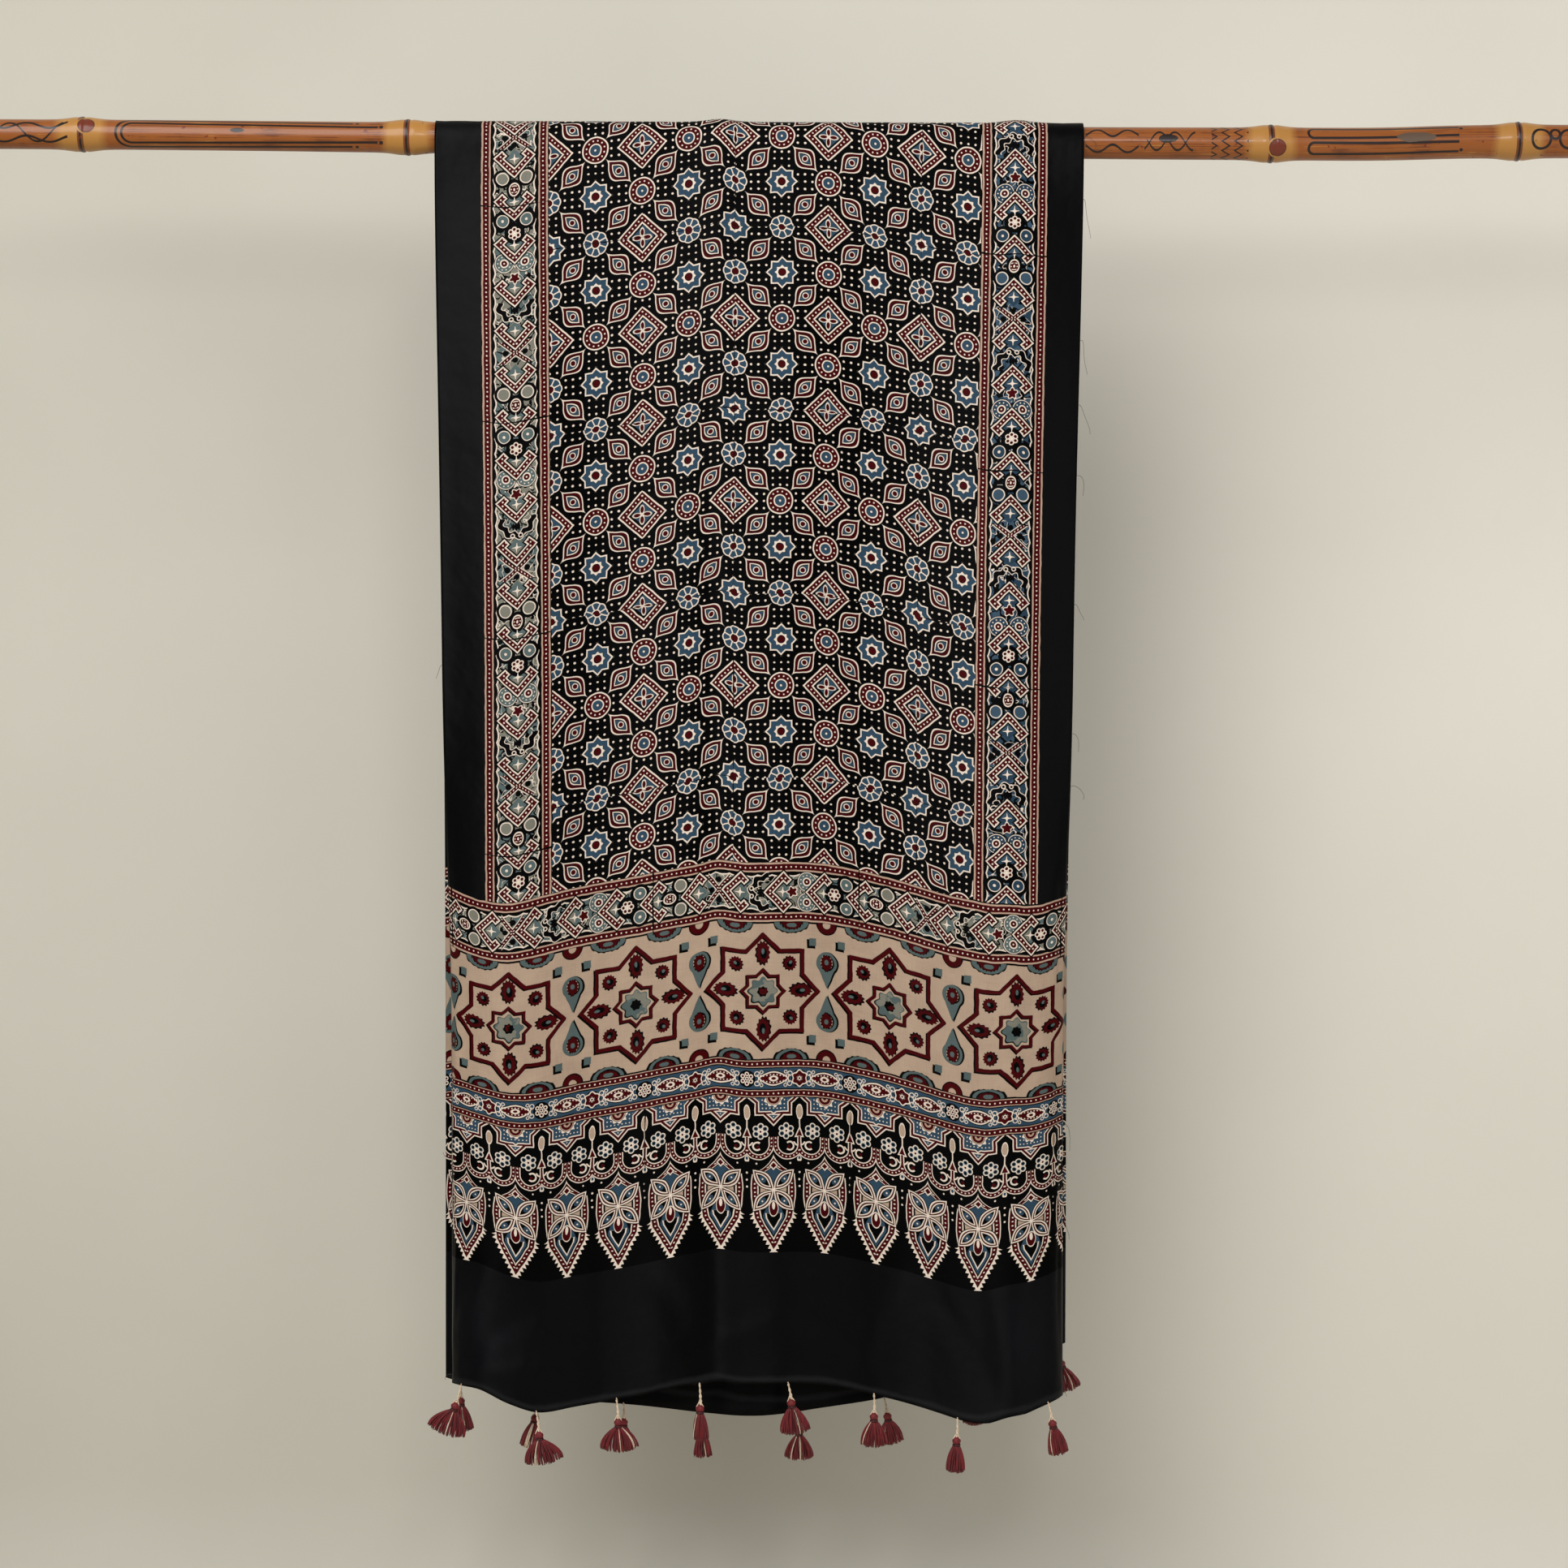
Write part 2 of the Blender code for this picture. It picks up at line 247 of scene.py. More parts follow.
clothLook = {
    "width": 561 * mm, "length": 2.24, "thickness": 0.5 * mm, "centreX": -24 * mm, "offset": 2.5 * mm,
    "frontHang": 1075 * mm, "foldGrowth": 0.28, "frontFold": 0.88, "backFold": 0.8, "backCurl": 0.2,
    "frontSway": 3.5 * mm, "backSway": 1.5 * mm,
    "printTop": 1101.7, "printLength": 2225,     # v at the top of the rod, and the mirrored length, in millimetres
    # across, turn, curl, front hem drop, back length, droop of the weft
    "stations": (
        (0, 18, 48, 3.5, 1078, 21), (15, 30, 14, 4, 1081, 26), (35, 28, 0, 6, 1085, 32), (60, 0, 0, 17, 1089, 35),
        (85, -20, 0, 25, 1093, 30), (115, -28, 0, 22.5, 1097, 23), (170, 0, 0, 15, 1102, 13),
        (225, 23, 0, 2.5, 1106, 3), (280, 0, 0, 0, 1108, 0), (335, -23, 0, 1.5, 1103, 0.5),
        (390, 0, 0, 13.5, 1096, 11), (445, 30, 0, 26, 1080, 26), (475, 17, 0, 32, 1070, 32),
        (500, 0, 0, 30, 1061, 38), (530, -27, 0, 20, 1053, 35.5), (548, -30, -14, 14.5, 1049, 31),
        (561, -18, -48, 11, 1045, 28),
    ),
    # soft creases: u, v, angle from the warp, length, width, height, all in millimetres and degrees
    "creases": (
        (8, 250, 1, 420, 2.6, 1.3), (17, 300, -2, 330, 5, -1.1), (553, 260, -1, 400, 2.4, -1.2),
        (545, 330, 2, 300, 5, 1.0), (55, 30, 62, 75, 6, 1.6), (46, 52, 40, 90, 7, -1.5), (80, 62, 20, 120, 10, 1.5),
        (30, 92, 28, 100, 6, 1.2), (66, 150, 12, 130, 8, 1.6), (100, 200, -8, 160, 11, -1.3),
        (58, 330, 3, 150, 9, 1.8), (36, 350, -6, 130, 6, -1.2), (500, 70, -18, 130, 9, 1.7),
        (470, 60, -32, 110, 10, -1.4), (520, 120, 8, 150, 7, 1.2), (505, 330, -4, 160, 9, 1.6),
        (478, 350, 8, 140, 8, -1.3), (532, 330, -3, 150, 6, 1.2), (250, 40, 70, 150, 9, 1.1),
        (330, 55, -66, 130, 9, -1.0), (200, 75, -30, 140, 12, 1.0), (395, 90, 24, 160, 12, -1.1),
        (70, 560, 2, 260, 9, 1.0), (495, 600, -2, 300, 9, 1.1), (505, 820, 1, 260, 8, 0.8),
        (60, 840, -1, 260, 8, 0.7), (180, 420, 4, 300, 14, -0.9), (385, 450, -3, 320, 14, -0.9),
        (290, 300, 2, 380, 16, 0.9), (225, 640, 3, 330, 15, 0.6), (340, 690, -3, 330, 15, 0.6),
    ),
    # where the cloth is marked off, in millimetres from each end: plain end, pointed band, eye band, star band,
    # cross border; and from the left selvedge: plain edge, border, field, border, plain edge
    "bands": (0, 115, 248, 281, 399, 451),
    "sides": (0, 40, 98.5, 473, 530, 561),
}


def stationCurve(column, across):
    # A smooth curve through one column of the stations: cubic between rows, slopes from the rows on each side
    table = np.array(clothLook["stations"], float)
    places, values = table[:, 0] * mm, table[:, column]
    across = np.clip(across, places[0], places[-1])
    i = np.clip(np.searchsorted(places, across, side="right") - 1, 0, len(places) - 2)
    before, after = np.maximum(i - 1, 0), np.minimum(i + 2, len(places) - 1)
    span = places[i + 1] - places[i]
    startSlope = (values[i + 1] - values[before]) / (places[i + 1] - places[before])
    endSlope = (values[after] - values[i]) / (places[after] - places[i])
    t = (across - places[i]) / span
    return ((2 * t**3 - 3 * t**2 + 1) * values[i] + (t**3 - 2 * t**2 + t) * span * startSlope
            + (3 * t**2 - 2 * t**3) * values[i + 1] + (t**3 - t**2) * span * endSlope)


def wrapRadius(across):
    # Radius of the sheet's middle surface where it passes over the rod
    return rodRadius(clothLook["centreX"] - clothLook["width"] / 2 + across) + clothLook["offset"]


foldRows, foldSteps, deepest = 120, 187, 1.08      # heights, steps across and the lowest height of the fold tables


def foldTables(front):
    # The folded line across the cloth at each height, walked step by step: each step turns by the fold angle
    # there, share * turn + curlShare * curl, with share 1 - exp(-hang / growth)
    look = clothLook
    hang = np.linspace(0, deepest, foldRows + 1)
    step = look["width"] / foldSteps
    across = (np.arange(foldSteps) + 0.5) * step
    share = (1 - np.exp(-hang / look["foldGrowth"])) * look["frontFold" if front else "backFold"]
    curl = smoothStep(0.45, 0.75, hang) * (1 if front else look["backCurl"])
    angle = np.radians(share[:, None] * stationCurve(1, across) + curl[:, None] * stationCurve(2, across))
    start = np.zeros((len(hang), 1))
    x = np.concatenate([start, np.cumsum(step * np.cos(angle), 1)], 1)
    y = -np.concatenate([start, np.cumsum(step * np.sin(angle), 1)], 1)
    sway = (look["frontSway"] if front else look["backSway"]) * (hang / look["frontHang"]) ** 2
    x += (look["centreX"] + sway - (x[:, 0] + x[:, -1]) / 2)[:, None]
    return x, y - y.mean(1, keepdims=True)


def lookUp(table, hang, across):
    # Reads a fold table between its rows and columns: the weighted mean of the four entries round the place
    r = np.clip(hang / deepest * foldRows, 0, foldRows - 0.001)
    c = np.clip(across / clothLook["width"] * foldSteps, 0, foldSteps - 0.001)
    i, j = r.astype(int), c.astype(int)
    a, b = r - i, c - j
    return ((table[i, j] * (1 - b) + table[i, j + 1] * b) * (1 - a)
            + (table[i + 1, j] * (1 - b) + table[i + 1, j + 1] * b) * a)


def hemHang(across, front):
    return clothLook["frontHang"] + stationCurve(3, across) * mm if front else stationCurve(4, across) * mm


def panelPoint(across, hang, front):
    # A point of a hanging panel: level with the rod's side at hang 0, moved by the folds below it
    tables = foldTables(front)
    level = hang * clothLook["frontHang"] / hemHang(across, front)
    x, fold = lookUp(tables[0], level, across), lookUp(tables[1], level, across)
    return np.stack([x, (-1 if front else 1) * wrapRadius(across) + fold, -hang], -1)


def weftDroop(across, hang):
    # How far a weft line hangs below its place at the middle: the droop, blending into the hem's own line
    blend = smoothStep(0.65, deepest, hang)
    rising = 0.72 + 0.3 * np.clip(hang / 0.6, 0, 1)
    return (rising * stationCurve(5, across) * (1 - blend) + stationCurve(3, across) * blend) * mm


def clothPlace(u, v):
    # u, v in millimetres of print to points: v gives the distance along the cloth from the top of the rod,
    # which is a panel below the quarter turn on either side and the half turn between them
    across = u * mm
    quarter = math.pi / 2 * wrapRadius(across)
    down = (clothLook["printTop"] - v) * mm
    hang = np.maximum(down - quarter, 0)
    for _ in range(8):
        hang = np.maximum(down + weftDroop(across, hang) - quarter, 0)
    hang = np.minimum(hang, hemHang(across, True))
    topDroop = weftDroop(across, np.zeros_like(u))
    along = down + topDroop
    front = panelPoint(across, hang, True)
    back = panelPoint(across, np.clip(-along - quarter, 0, hemHang(across, False)), False)
    angle = np.clip(along / wrapRadius(across), -math.pi / 2, math.pi / 2)
    x = lookUp(foldTables(True)[0], np.zeros_like(u), across)
    over = np.stack([x, -wrapRadius(across) * np.sin(angle), wrapRadius(across) * np.cos(angle)], -1)
    isFront, isBack = (along >= quarter)[..., None], (along <= -quarter)[..., None]
    return np.where(isFront, front, np.where(isBack, back, over))


def spaced(marks, step):
    # Even steps of about the given size between each pair of marks, with every mark kept
    runs = [np.linspace(a, b, max(1, int(math.ceil((b - a) / step))) + 1)[:-1] for a, b in zip(marks, marks[1:])]
    return np.concatenate(runs + [[marks[-1]]])


def makeCloth(materials):
    look = clothLook
    sides, bands, length = look["sides"], look["bands"], look["printLength"]
    edge, far = 12, sides[-1] - 12      # the selvedges and the hem have finer steps as far in as this
    u = np.concatenate([spaced((0, edge), 2.4)[:-1], spaced((edge,) + sides[1:-1] + (far,), 5.2)[:-1],
                        spaced((far, sides[-1]), 2.4)])
    marks = list(bands) + [length - b for b in bands[:0:-1]]
    v = spaced([0, edge] + marks[1:], 6.3)
    tail = np.linspace(0, 1, 22)[1:]
    backEnd = (look["printTop"] + (wrapRadius(u * mm) * math.pi / 2 + hemHang(u * mm, False)
               + weftDroop(u * mm, np.zeros_like(u))) / mm)
    rows = np.concatenate([np.repeat(v[:, None], len(u), 1), v[-1] + (backEnd[None] - v[-1]) * tail[:, None]])
    columns = np.repeat(u[None], len(rows), 0)
    points = clothPlace(columns, rows)
    normal = np.cross(np.gradient(points, axis=0), np.gradient(points, axis=1))
    normal /= np.linalg.norm(normal, axis=2, keepdims=True)
    normal *= np.where(normal[len(v) // 4, len(u) // 2, 1] > 0, -1, 1)
    points = points + normal * (creaseHeight(columns, rows) * mm)[..., None]
    middleU = (columns[:-1, :-1] + columns[1:, 1:]) / 2
    middleV = (rows[:-1, :-1] + rows[1:, 1:]) / 2
    fromEnd = np.minimum(middleV, length - middleV)
    kind = np.digitize(fromEnd, bands[1:])
    side = np.digitize(middleU, sides[1:-1])
    kind = np.where(kind == 5, np.array([0, 5, 6, 5, 0])[side], kind)
    cloth = surfaceObject("ajrakh_cloth", points, materials, kind.ravel(),
                          {"print": np.stack([columns, rows], -1).reshape(-1, 2)})
    if cloth.data.polygons[len(u) * 40].normal.y > 0:
        cloth.data.flip_normals()
    wall = cloth.modifiers.new("thickness", "SOLIDIFY")
    wall.thickness, wall.offset, wall.use_even_offset = look["thickness"], 0, False
    return cloth


def creaseHeight(u, v):
    # Each crease is height * exp(-(side / width)^2) * exp(-(along / half length)^4), side and along measured
    # from its middle; slow ripples and the turned-up hem's step are added, and all of it fades over the rod
    total = np.zeros_like(u)
    for cu, cv, angle, length, width, height in clothLook["creases"]:
        a = math.radians(angle)
        along = (v - cv) * math.cos(a) + (u - cu) * math.sin(a)
        side = (u - cu) * math.cos(a) - (v - cv) * math.sin(a)
        side = side + 3 * np.sin(along / 37 + cu)
        total += height * np.exp(-(side / width) ** 2) * np.exp(-(along / (length / 2)) ** 4)
        mirrored = (clothLook["printLength"] - v - cv) * math.cos(a) + (u - cu) * math.sin(a)
        total += 0.6 * height * np.exp(-((u - cu - 20) / (width + 3)) ** 2) * np.exp(-(mirrored / (length / 2)) ** 4)
    total += 0.35 * np.sin(u / 23 + 0.9 * np.sin(v / 160)) * np.sin(v / 71 + u / 190)
    total += 0.45 * smoothStep(10.5, 8.5, v) - 0.25 * np.exp(-((v - 10) / 1.6) ** 2)
    top = np.abs(v - clothLook["printTop"])
    return total * smoothStep(25, 260, top)


mathKinds = {
    ast.Add: "ADD", ast.Sub: "SUBTRACT", ast.Mult: "MULTIPLY", ast.Div: "DIVIDE",
    "abs": "ABSOLUTE", "min": "MINIMUM", "max": "MAXIMUM", "round": "ROUND", "floor": "FLOOR",
    "mod": "FLOORED_MODULO", "sin": "SINE", "cos": "COSINE", "atan2": "ARCTAN2",
}
onNumbers = {"ADD": operator.add, "SUBTRACT": operator.sub, "MULTIPLY": operator.mul, "DIVIDE": operator.truediv}
edgeSoftness = 0.2      # millimetres over which an ink's edge fades


def workOut(tree, part, known):
    # Adds the nodes for one formula, from its inmost bracket outwards, and gives back a number or the last node
    if isinstance(part, ast.Constant):
        return float(part.value)
    if isinstance(part, ast.Name):
        return known[part.id]
    if isinstance(part, ast.UnaryOp):
        value = workOut(tree, part.operand, known)
        if isinstance(value, float):
            return -value
        return addNode(tree, "Math", {"operation": "MULTIPLY"}, {0: value, 1: -1.0})
    if isinstance(part, ast.BinOp):
        kind, terms = mathKinds[type(part.op)], [part.left, part.right]
    else:
        kind, terms = mathKinds.get(part.func.id), part.args
    values = [workOut(tree, term, known) for term in terms]
    if kind in onNumbers and all(isinstance(value, float) for value in values):
        return onNumbers[kind](*values)
    if kind is None:    # hypot: the length of the line to (a, b)
        joined = addNode(tree, "CombineXYZ", {}, dict(enumerate(values)))
        return addNode(tree, "VectorMath", {"operation": "LENGTH"}, {0: joined}).outputs["Value"]
    total = values[0]
    for value in values[1:] or [0.0]:
        total = addNode(tree, "Math", {"operation": kind}, {0: total, 1: value})
    return total


def drawLines(tree, text, known, inks, colour):
    # Works down the lines. "name = formula" keeps a number for later lines. "ink: formula" lays that ink
    # where the formula, a distance from the shape's edge in millimetres, is below nought. "only" is a number
    # added to the inks' formulas after it: nought where they show, and large where they don't.
    for line in filter(None, (row.split("#")[0].strip() for row in text.splitlines())):
        name, formula = (half.strip() for half in (line.split(":") if ":" in line else line.split("=")))
        value = workOut(tree, ast.parse(formula).body[0].value, known)
        if ":" not in line:
            known[name] = value
            continue
        if not isinstance(known.get("only", 0.0), float):
            value = addNode(tree, "Math", {"operation": "ADD"}, {0: value, 1: known["only"]})
        inside = addNode(tree, "Math", {"operation": "MULTIPLY_ADD", "use_clamp": True},
                         {0: value, 1: -0.5 / edgeSoftness, 2: 0.5})
        laid = addNode(tree, "Mix", {"data_type": "RGBA"}, {0: inside, 6: colour, 7: inks[name]})
        colour = laid.outputs[2]
    return colour


def starEdge(x, y, side, tip):
    # An eight-pointed star: a square of half side "side" joined to a square on its corner of half diagonal "tip"
    return f"min(max(abs({x}), abs({y})) - {side}, (abs({x}) + abs({y}) - {tip}) * 0.707)"


# two colours here are painted light used on the plain end, not inks: a dim blue-black for the sheen on its lower
# folds, and a dark grey for a highlight along its hem
inkColours = {
    "black": "#030303", "cream": "#e2d1c0", "blush": "#b49682", "maroon": "#400609", "blue": "#2f4556",
    "pale": "#566463", "mist": "#78766a", "tan": "#ae9681", "slate": "#505d5b", "night": "#020203", "haze": "#0a0b0f",
    "rubbed": "#18181a", "deepGround": "#293d4d", "deepMist": "#3a4e5e",
}

fieldLines = """
blockU = floor((u - 98.8) / 161.2)
blockV = floor((v - 999.4) / 158.6)
uu = u + 0.8 * sin(blockU * 12.9 + blockV * 78.2)
vv = v + 0.8 * sin(blockU * 39.3 + blockV * 11.1)
column = round((uu - 179.4) / 40.3)
row = round((vv - 1078.7) / 39.65)
x = uu - 179.4 - column * 40.3
y = vv - 1078.7 - row * 39.65
ax = abs(x)
ay = abs(y)
far = max(ax, ay)
near = min(ax, ay)
odd = mod(column + row, 2)
line = 1 - min(1, min(mod(column, 4), mod(row, 4)))
inward = 20 - far
cream: max(hypot(inward - 6.2 * round(inward / 6.2), near - 6.2 * round(near / 6.2)) - 0.95, max(inward, near) - 9.4)
sum = (39.9 - ax - ay) * 0.7071
gap = abs(ax - ay - 0.3) * 0.7071
along = sum * odd + gap * (1 - odd)
side = gap * odd + sum * (1 - odd)
leaf = max((side - 4.6 - 4.6 * cos(min(along, 15.8) * 0.1988)) * 0.8, along - 15.9)
black: leaf - 0.6
cream: leaf
maroon: leaf + 0.95
black: leaf + 2.7
cream: leaf + 3.5
black: leaf + 4.3
blue: leaf + 4.9
eye = hypot(sum, gap)
cream: eye - 2.7
maroon: eye - 2.0
m = ax + ay
only = 99 - 99 * (1 - odd) * line
black: (m - 22.8) * 0.707
cream: (m - 21.3) * 0.707
maroon: (m - 19.6) * 0.707
cream: hypot((m - 16.4) * 0.707, mod((ax - ay) * 0.707 + 1.9, 3.8) - 1.9) - 0.68
cream: (m - 13.3) * 0.707
black: (m - 11.7) * 0.707
blue: (abs(x - 0.7) + abs(y - 0.7) - 9.6) * 0.707
cream: hypot((far - 4.3) * 0.5, near) - 2.1
maroon: hypot((far - 4.3) * 0.5, near) - 1.5
r = hypot(x, y)
turn = atan2(y, x)
only = 99 - 99 * odd * line
black: r - 12.7
cream: r - 11.5
maroon: r - 10.35
cream: hypot(r - 8, mod(turn * 8, 4.189) - 2.094) - 0.68
cream: r - 5.5
blue: r - 4.5
cream: r - 0.9
part = abs(mod(turn + 0.3927, 0.7854) - 0.3927)
point = r * (cos(part) + sin(part))
only = 99 - 99 * (1 - odd) * (1 - line)
black: (point - 15.2) * 0.707
cream: (point - 13.9) * 0.707
blue: (point - 12.3) * 0.707
cream: (point - 6.4) * 0.707
black: r - 3.6
maroon: r - 2.9
lobe = r - 9.9 - 0.8 * cos(part * 4)
only = 99 - 99 * odd * (1 - line)
black: lobe - 1.0
cream: lobe
blue: max(lobe + 1.0, max(4.0 - r, 0.5 - r * sin(0.3927 - part)))
black: r - 3.1
maroon: r - 2.5
only = 0
joint = min(abs(u - 98.8 - 161.2 * round((u - 98.8) / 161.2)), abs(v - 999.4 - 158.6 * round((v - 999.4) / 158.6)))
black: joint - 2.6 * (cloud - 0.42)
"""

# needs s, across the border from either outside edge, w, its width, and t, along it the way the chevrons point
borderLines = """
g = min(s, w - s)
blush: abs(g - 4.5) - 4.0
maroon: abs(g - 4.6) - 2.6
cream: hypot(g - 4.6, mod(t, dotPitch) - dotPitch / 2) - 0.68
a = s - w / 2
e = g - 11.0
wave = 1.5 * abs(sin(t * 0.2568))
ground: wave - e
mist: max(wave - e, (0.5 - cloud) * 30)
black: max(wave - e + 0.8, (abs(pushU - 0.5) - 0.032 - 0.016 * ground) * 40)
cream: max(wave - e + 0.8, (abs(pushV - 0.52) - 0.01) * 40)
cream: abs(e - wave) - 0.55
cx = abs(a)
cy = mod(t - pinch, 36.7) - 19.1
tf = mod(t - pinch + 12, 36.7) - 12
kind = mod(floor((t - pinch + 12) / 36.7), 5)
m = cx + abs(cy) * 1.06
frame = max(abs(m - 13.6) * 0.686 - 3.0, (3.7 - cx - cy) * 0.7)
mist: m - 9.0
ground: max(m - 8.0, cy - 1.5)
r0 = hypot(cx - 10.3, tf + 0.2)
l0 = hypot(a, (tf - 9.4) * 0.8)
only = 99 * min(1, kind)
black: min(r0 - 7.9, l0 - 6.9)
mist: hypot(cx - 9.8, tf + 0.8) - 5.5
cream: abs(r0 - 5.1) - 0.4
cream: l0 - 4.6
maroon: l0 - 3.7
cream: hypot(abs(l0 - 2.6), mod(tf, 2.6) - 1.3) - 0.5
cream: hypot(a * 1.5, tf - 9.4) - 1.2
r1 = hypot(cx - 10.2, tf + 0.9)
l1 = hypot(a, tf - 10.0)
part = mod(atan2(a, tf - 10.0) + 0.5236, 1.0472) - 0.5236
petal = hypot(l1 * cos(part) - 3.5, l1 * sin(part))
only = 99 * min(1, abs(kind - 1))
black: min(r1 - 8.3, l1 - 8.9)
cream: r1 - 5.5
ground: r1 - 4.8
cream: r1 - 1.2
cream: petal - 2.2
maroon: petal - 1.3
cream: l1 - 1.4
r2 = hypot(cx - 8.9, tf + 1.6)
only = 99 * min(1, abs(kind - 2))
black: r2 - 8.8
cream: r2 - 8.2
ground: r2 - 7.6
cream: hypot(r2 - 5.6, mod(atan2(cx - 8.9, tf + 1.6) * 5.6, 3.52) - 1.76) - 0.55
cream: r2 - 3.7
maroon: r2 - 2.6
cream: r2 - 0.7
l2 = hypot(a, tf - 11.6) - 0.9 * cos(atan2(a, tf - 11.6) * 5)
cream: l2 - 4.6
maroon: l2 - 3.7
l3 = abs(hypot(a, tf + 4) - 13.6 - 1.3 * sin(atan2(a, tf + 4) * 9)) + 99 * max(0, -5 - tf)
only = 99 * min(1, abs(kind - 3))
cream: l3 - 3.1
black: l3 - 2.4
cream: abs(hypot(cx - 3.4, tf - 9.8) - 1.6) - 0.4
black: hypot(a * 0.7, tf - 2.2) - 2.9 + 0.8 * sin(a * 2.4)
r4 = abs(cx - abs(tf - 1.5) * 1.25) * 0.62 + 99 * max(0, abs(tf - 1.5) - 9.5)
only = 99 * min(1, abs(kind - 4))
black: hypot(cx - 8.5, tf - 1.5) - 2.6
black: hypot(a, abs(tf - 1.5) - 6.5) - 2.4
cream: r4 - 2.3
black: r4 - 1.6
maroon: r4 - 1.3
cream: hypot(r4, mod(cx, 2.6) - 1.3) - 0.5
only = 0
black: frame - 1.4
cream: frame - 0.1
maroon: frame + 1.0
cream: max(hypot((m - 13.6) * 0.686, mod((cx - abs(cy)) * 0.707 + 1.8, 3.6) - 1.8) - 0.74, frame + 1.0)
cream: max(cx + abs(cy - 0.8) - 4.2, cx * abs(cy - 0.8) - 0.9)
black: abs(mod(t - joint + 91.75, 183.5) - 91.75) - 3 * (cloud - 0.32)
"""

starLines = f"""
x = mod(u - 61 + 56.3, 112.6) - 56.3
y = v - 340
ax = abs(x)
e = min(398.5 - v, v - 281)
black: e - 0.7
hx = abs(ax - 24.5)
half = hypot(hx * 0.55, e)
black: hypot((hx + 0.4) * 0.55, e) - 9.2 + 0.3 * sin(hx * 1.3)
slate: half - 8.2
black: max(half - 8.9, v - 310)
slate: max(abs(hypot((hx + 3) * 0.55, e) - 8.3) - 0.9, max(v - 310, -2 - hx))
black: hypot(hx * 0.62, e) - 6.2 + 0.35 * sin(hx * 2.3)
maroon: hypot((hx - 0.7) * 0.7, e) - 5.6 + 0.4 * sin(hx * 2.6)
slate: hypot((hx - 1) * 0.55, e - 2.2) - 1.8
bx = 56.3 - ax
black: hypot(bx, e) - 9.6
maroon: hypot(bx, e) - 8.6 + 0.4 * sin(bx * 2.4)
tan: hypot(bx, e - 0.5) - 3.4
ty = abs(y)
tear = min(hypot(bx, ty - 25) - 9.3, max((abs(bx) - (ty - 3) * 0.43) * 0.92, ty - 21.5))
wx = 56.3 - mod(x, 112.6)
black: min(hypot(wx + 1.3, ty - 24.6) - 9.8, max((abs(wx + 1.3) - (ty - 2.4) * 0.44) * 0.92, ty - 21.5))
slate: tear
black: hypot(wx * 1.1 + 0.7, ty - 25) - 6.9
tan: hypot(bx * 1.15, ty - 25.4) - 6.3
black: hypot(bx * 1.2, (ty - 25) * 0.85) - 6.1 + 0.5 * sin(atan2(bx, ty - 25) * 12)
maroon: hypot(bx * 1.2, (ty - 25) * 0.85) - 5.5 + 0.5 * sin(atan2(bx, ty - 25) * 12)
slate: hypot(bx * 1.5 - 0.6, ty - 25.6) - 2.2
sx = x - 43.2 * min(1, max(-1, x))
black: max(abs(sx + 1.2), abs(y + 1.2 - 41.7 * min(1, max(-1, y)))) - 3.9
slate: max(abs(sx - 0.4), abs(y - 0.4 - 41.7 * min(1, max(-1, y)))) - 3.2
outer = {starEdge("x", "y", 35.9, 50.6)}
shadow = {starEdge("(x + 1.0)", "(y + 1.0)", 35.9, 50.6)}
tan: outer - 1.2
black: abs(shadow + 1.3) - 1.9
maroon: abs(outer + 1.5) - 1.65
inner = {starEdge("x", "y", 14.2, 20.0)}
black: abs({starEdge("(x + 0.8)", "(y + 0.8)", 14.2, 20.0)} + 1.1) - 1.5
maroon: abs(inner + 1.1) - 1.15
r = hypot(x, y)
turn = atan2(y, x)
black: hypot(x + 0.8, y + 0.8) - 11.6 - 1.5 * cos(turn * 8)
slate: r - 11.3 - 1.4 * cos(turn * 8)
mist: max(r - 10.4 - 1.4 * cos(turn * 8), (0.5 - cloud) * 30)
black: hypot(x + 0.5, y + 0.5) - 4.4 + 0.4 * sin(turn * 7)
maroon: max(r - 3.3, (0.55 - cloud) * 30)
step = round(turn / 0.7854)
part = turn - step * 0.7854
slim = 0.6 + 0.4 * mod(step, 2)
px = r * cos(part) - 33.2
py = r * sin(part)
seed = hypot(px * slim, py)
saw = 0.5 * sin(atan2(py, px * slim) * 13)
black: hypot((px + 0.6) * slim, py - 0.6) - 6.2 + saw
maroon: seed - 5.5 + saw
black: hypot((px + 1) * slim, py + 0.4) - 2.7
slate: hypot(px * (slim + 0.2) - 0.8, py * 1.5 - 0.5) - 1.9
"""

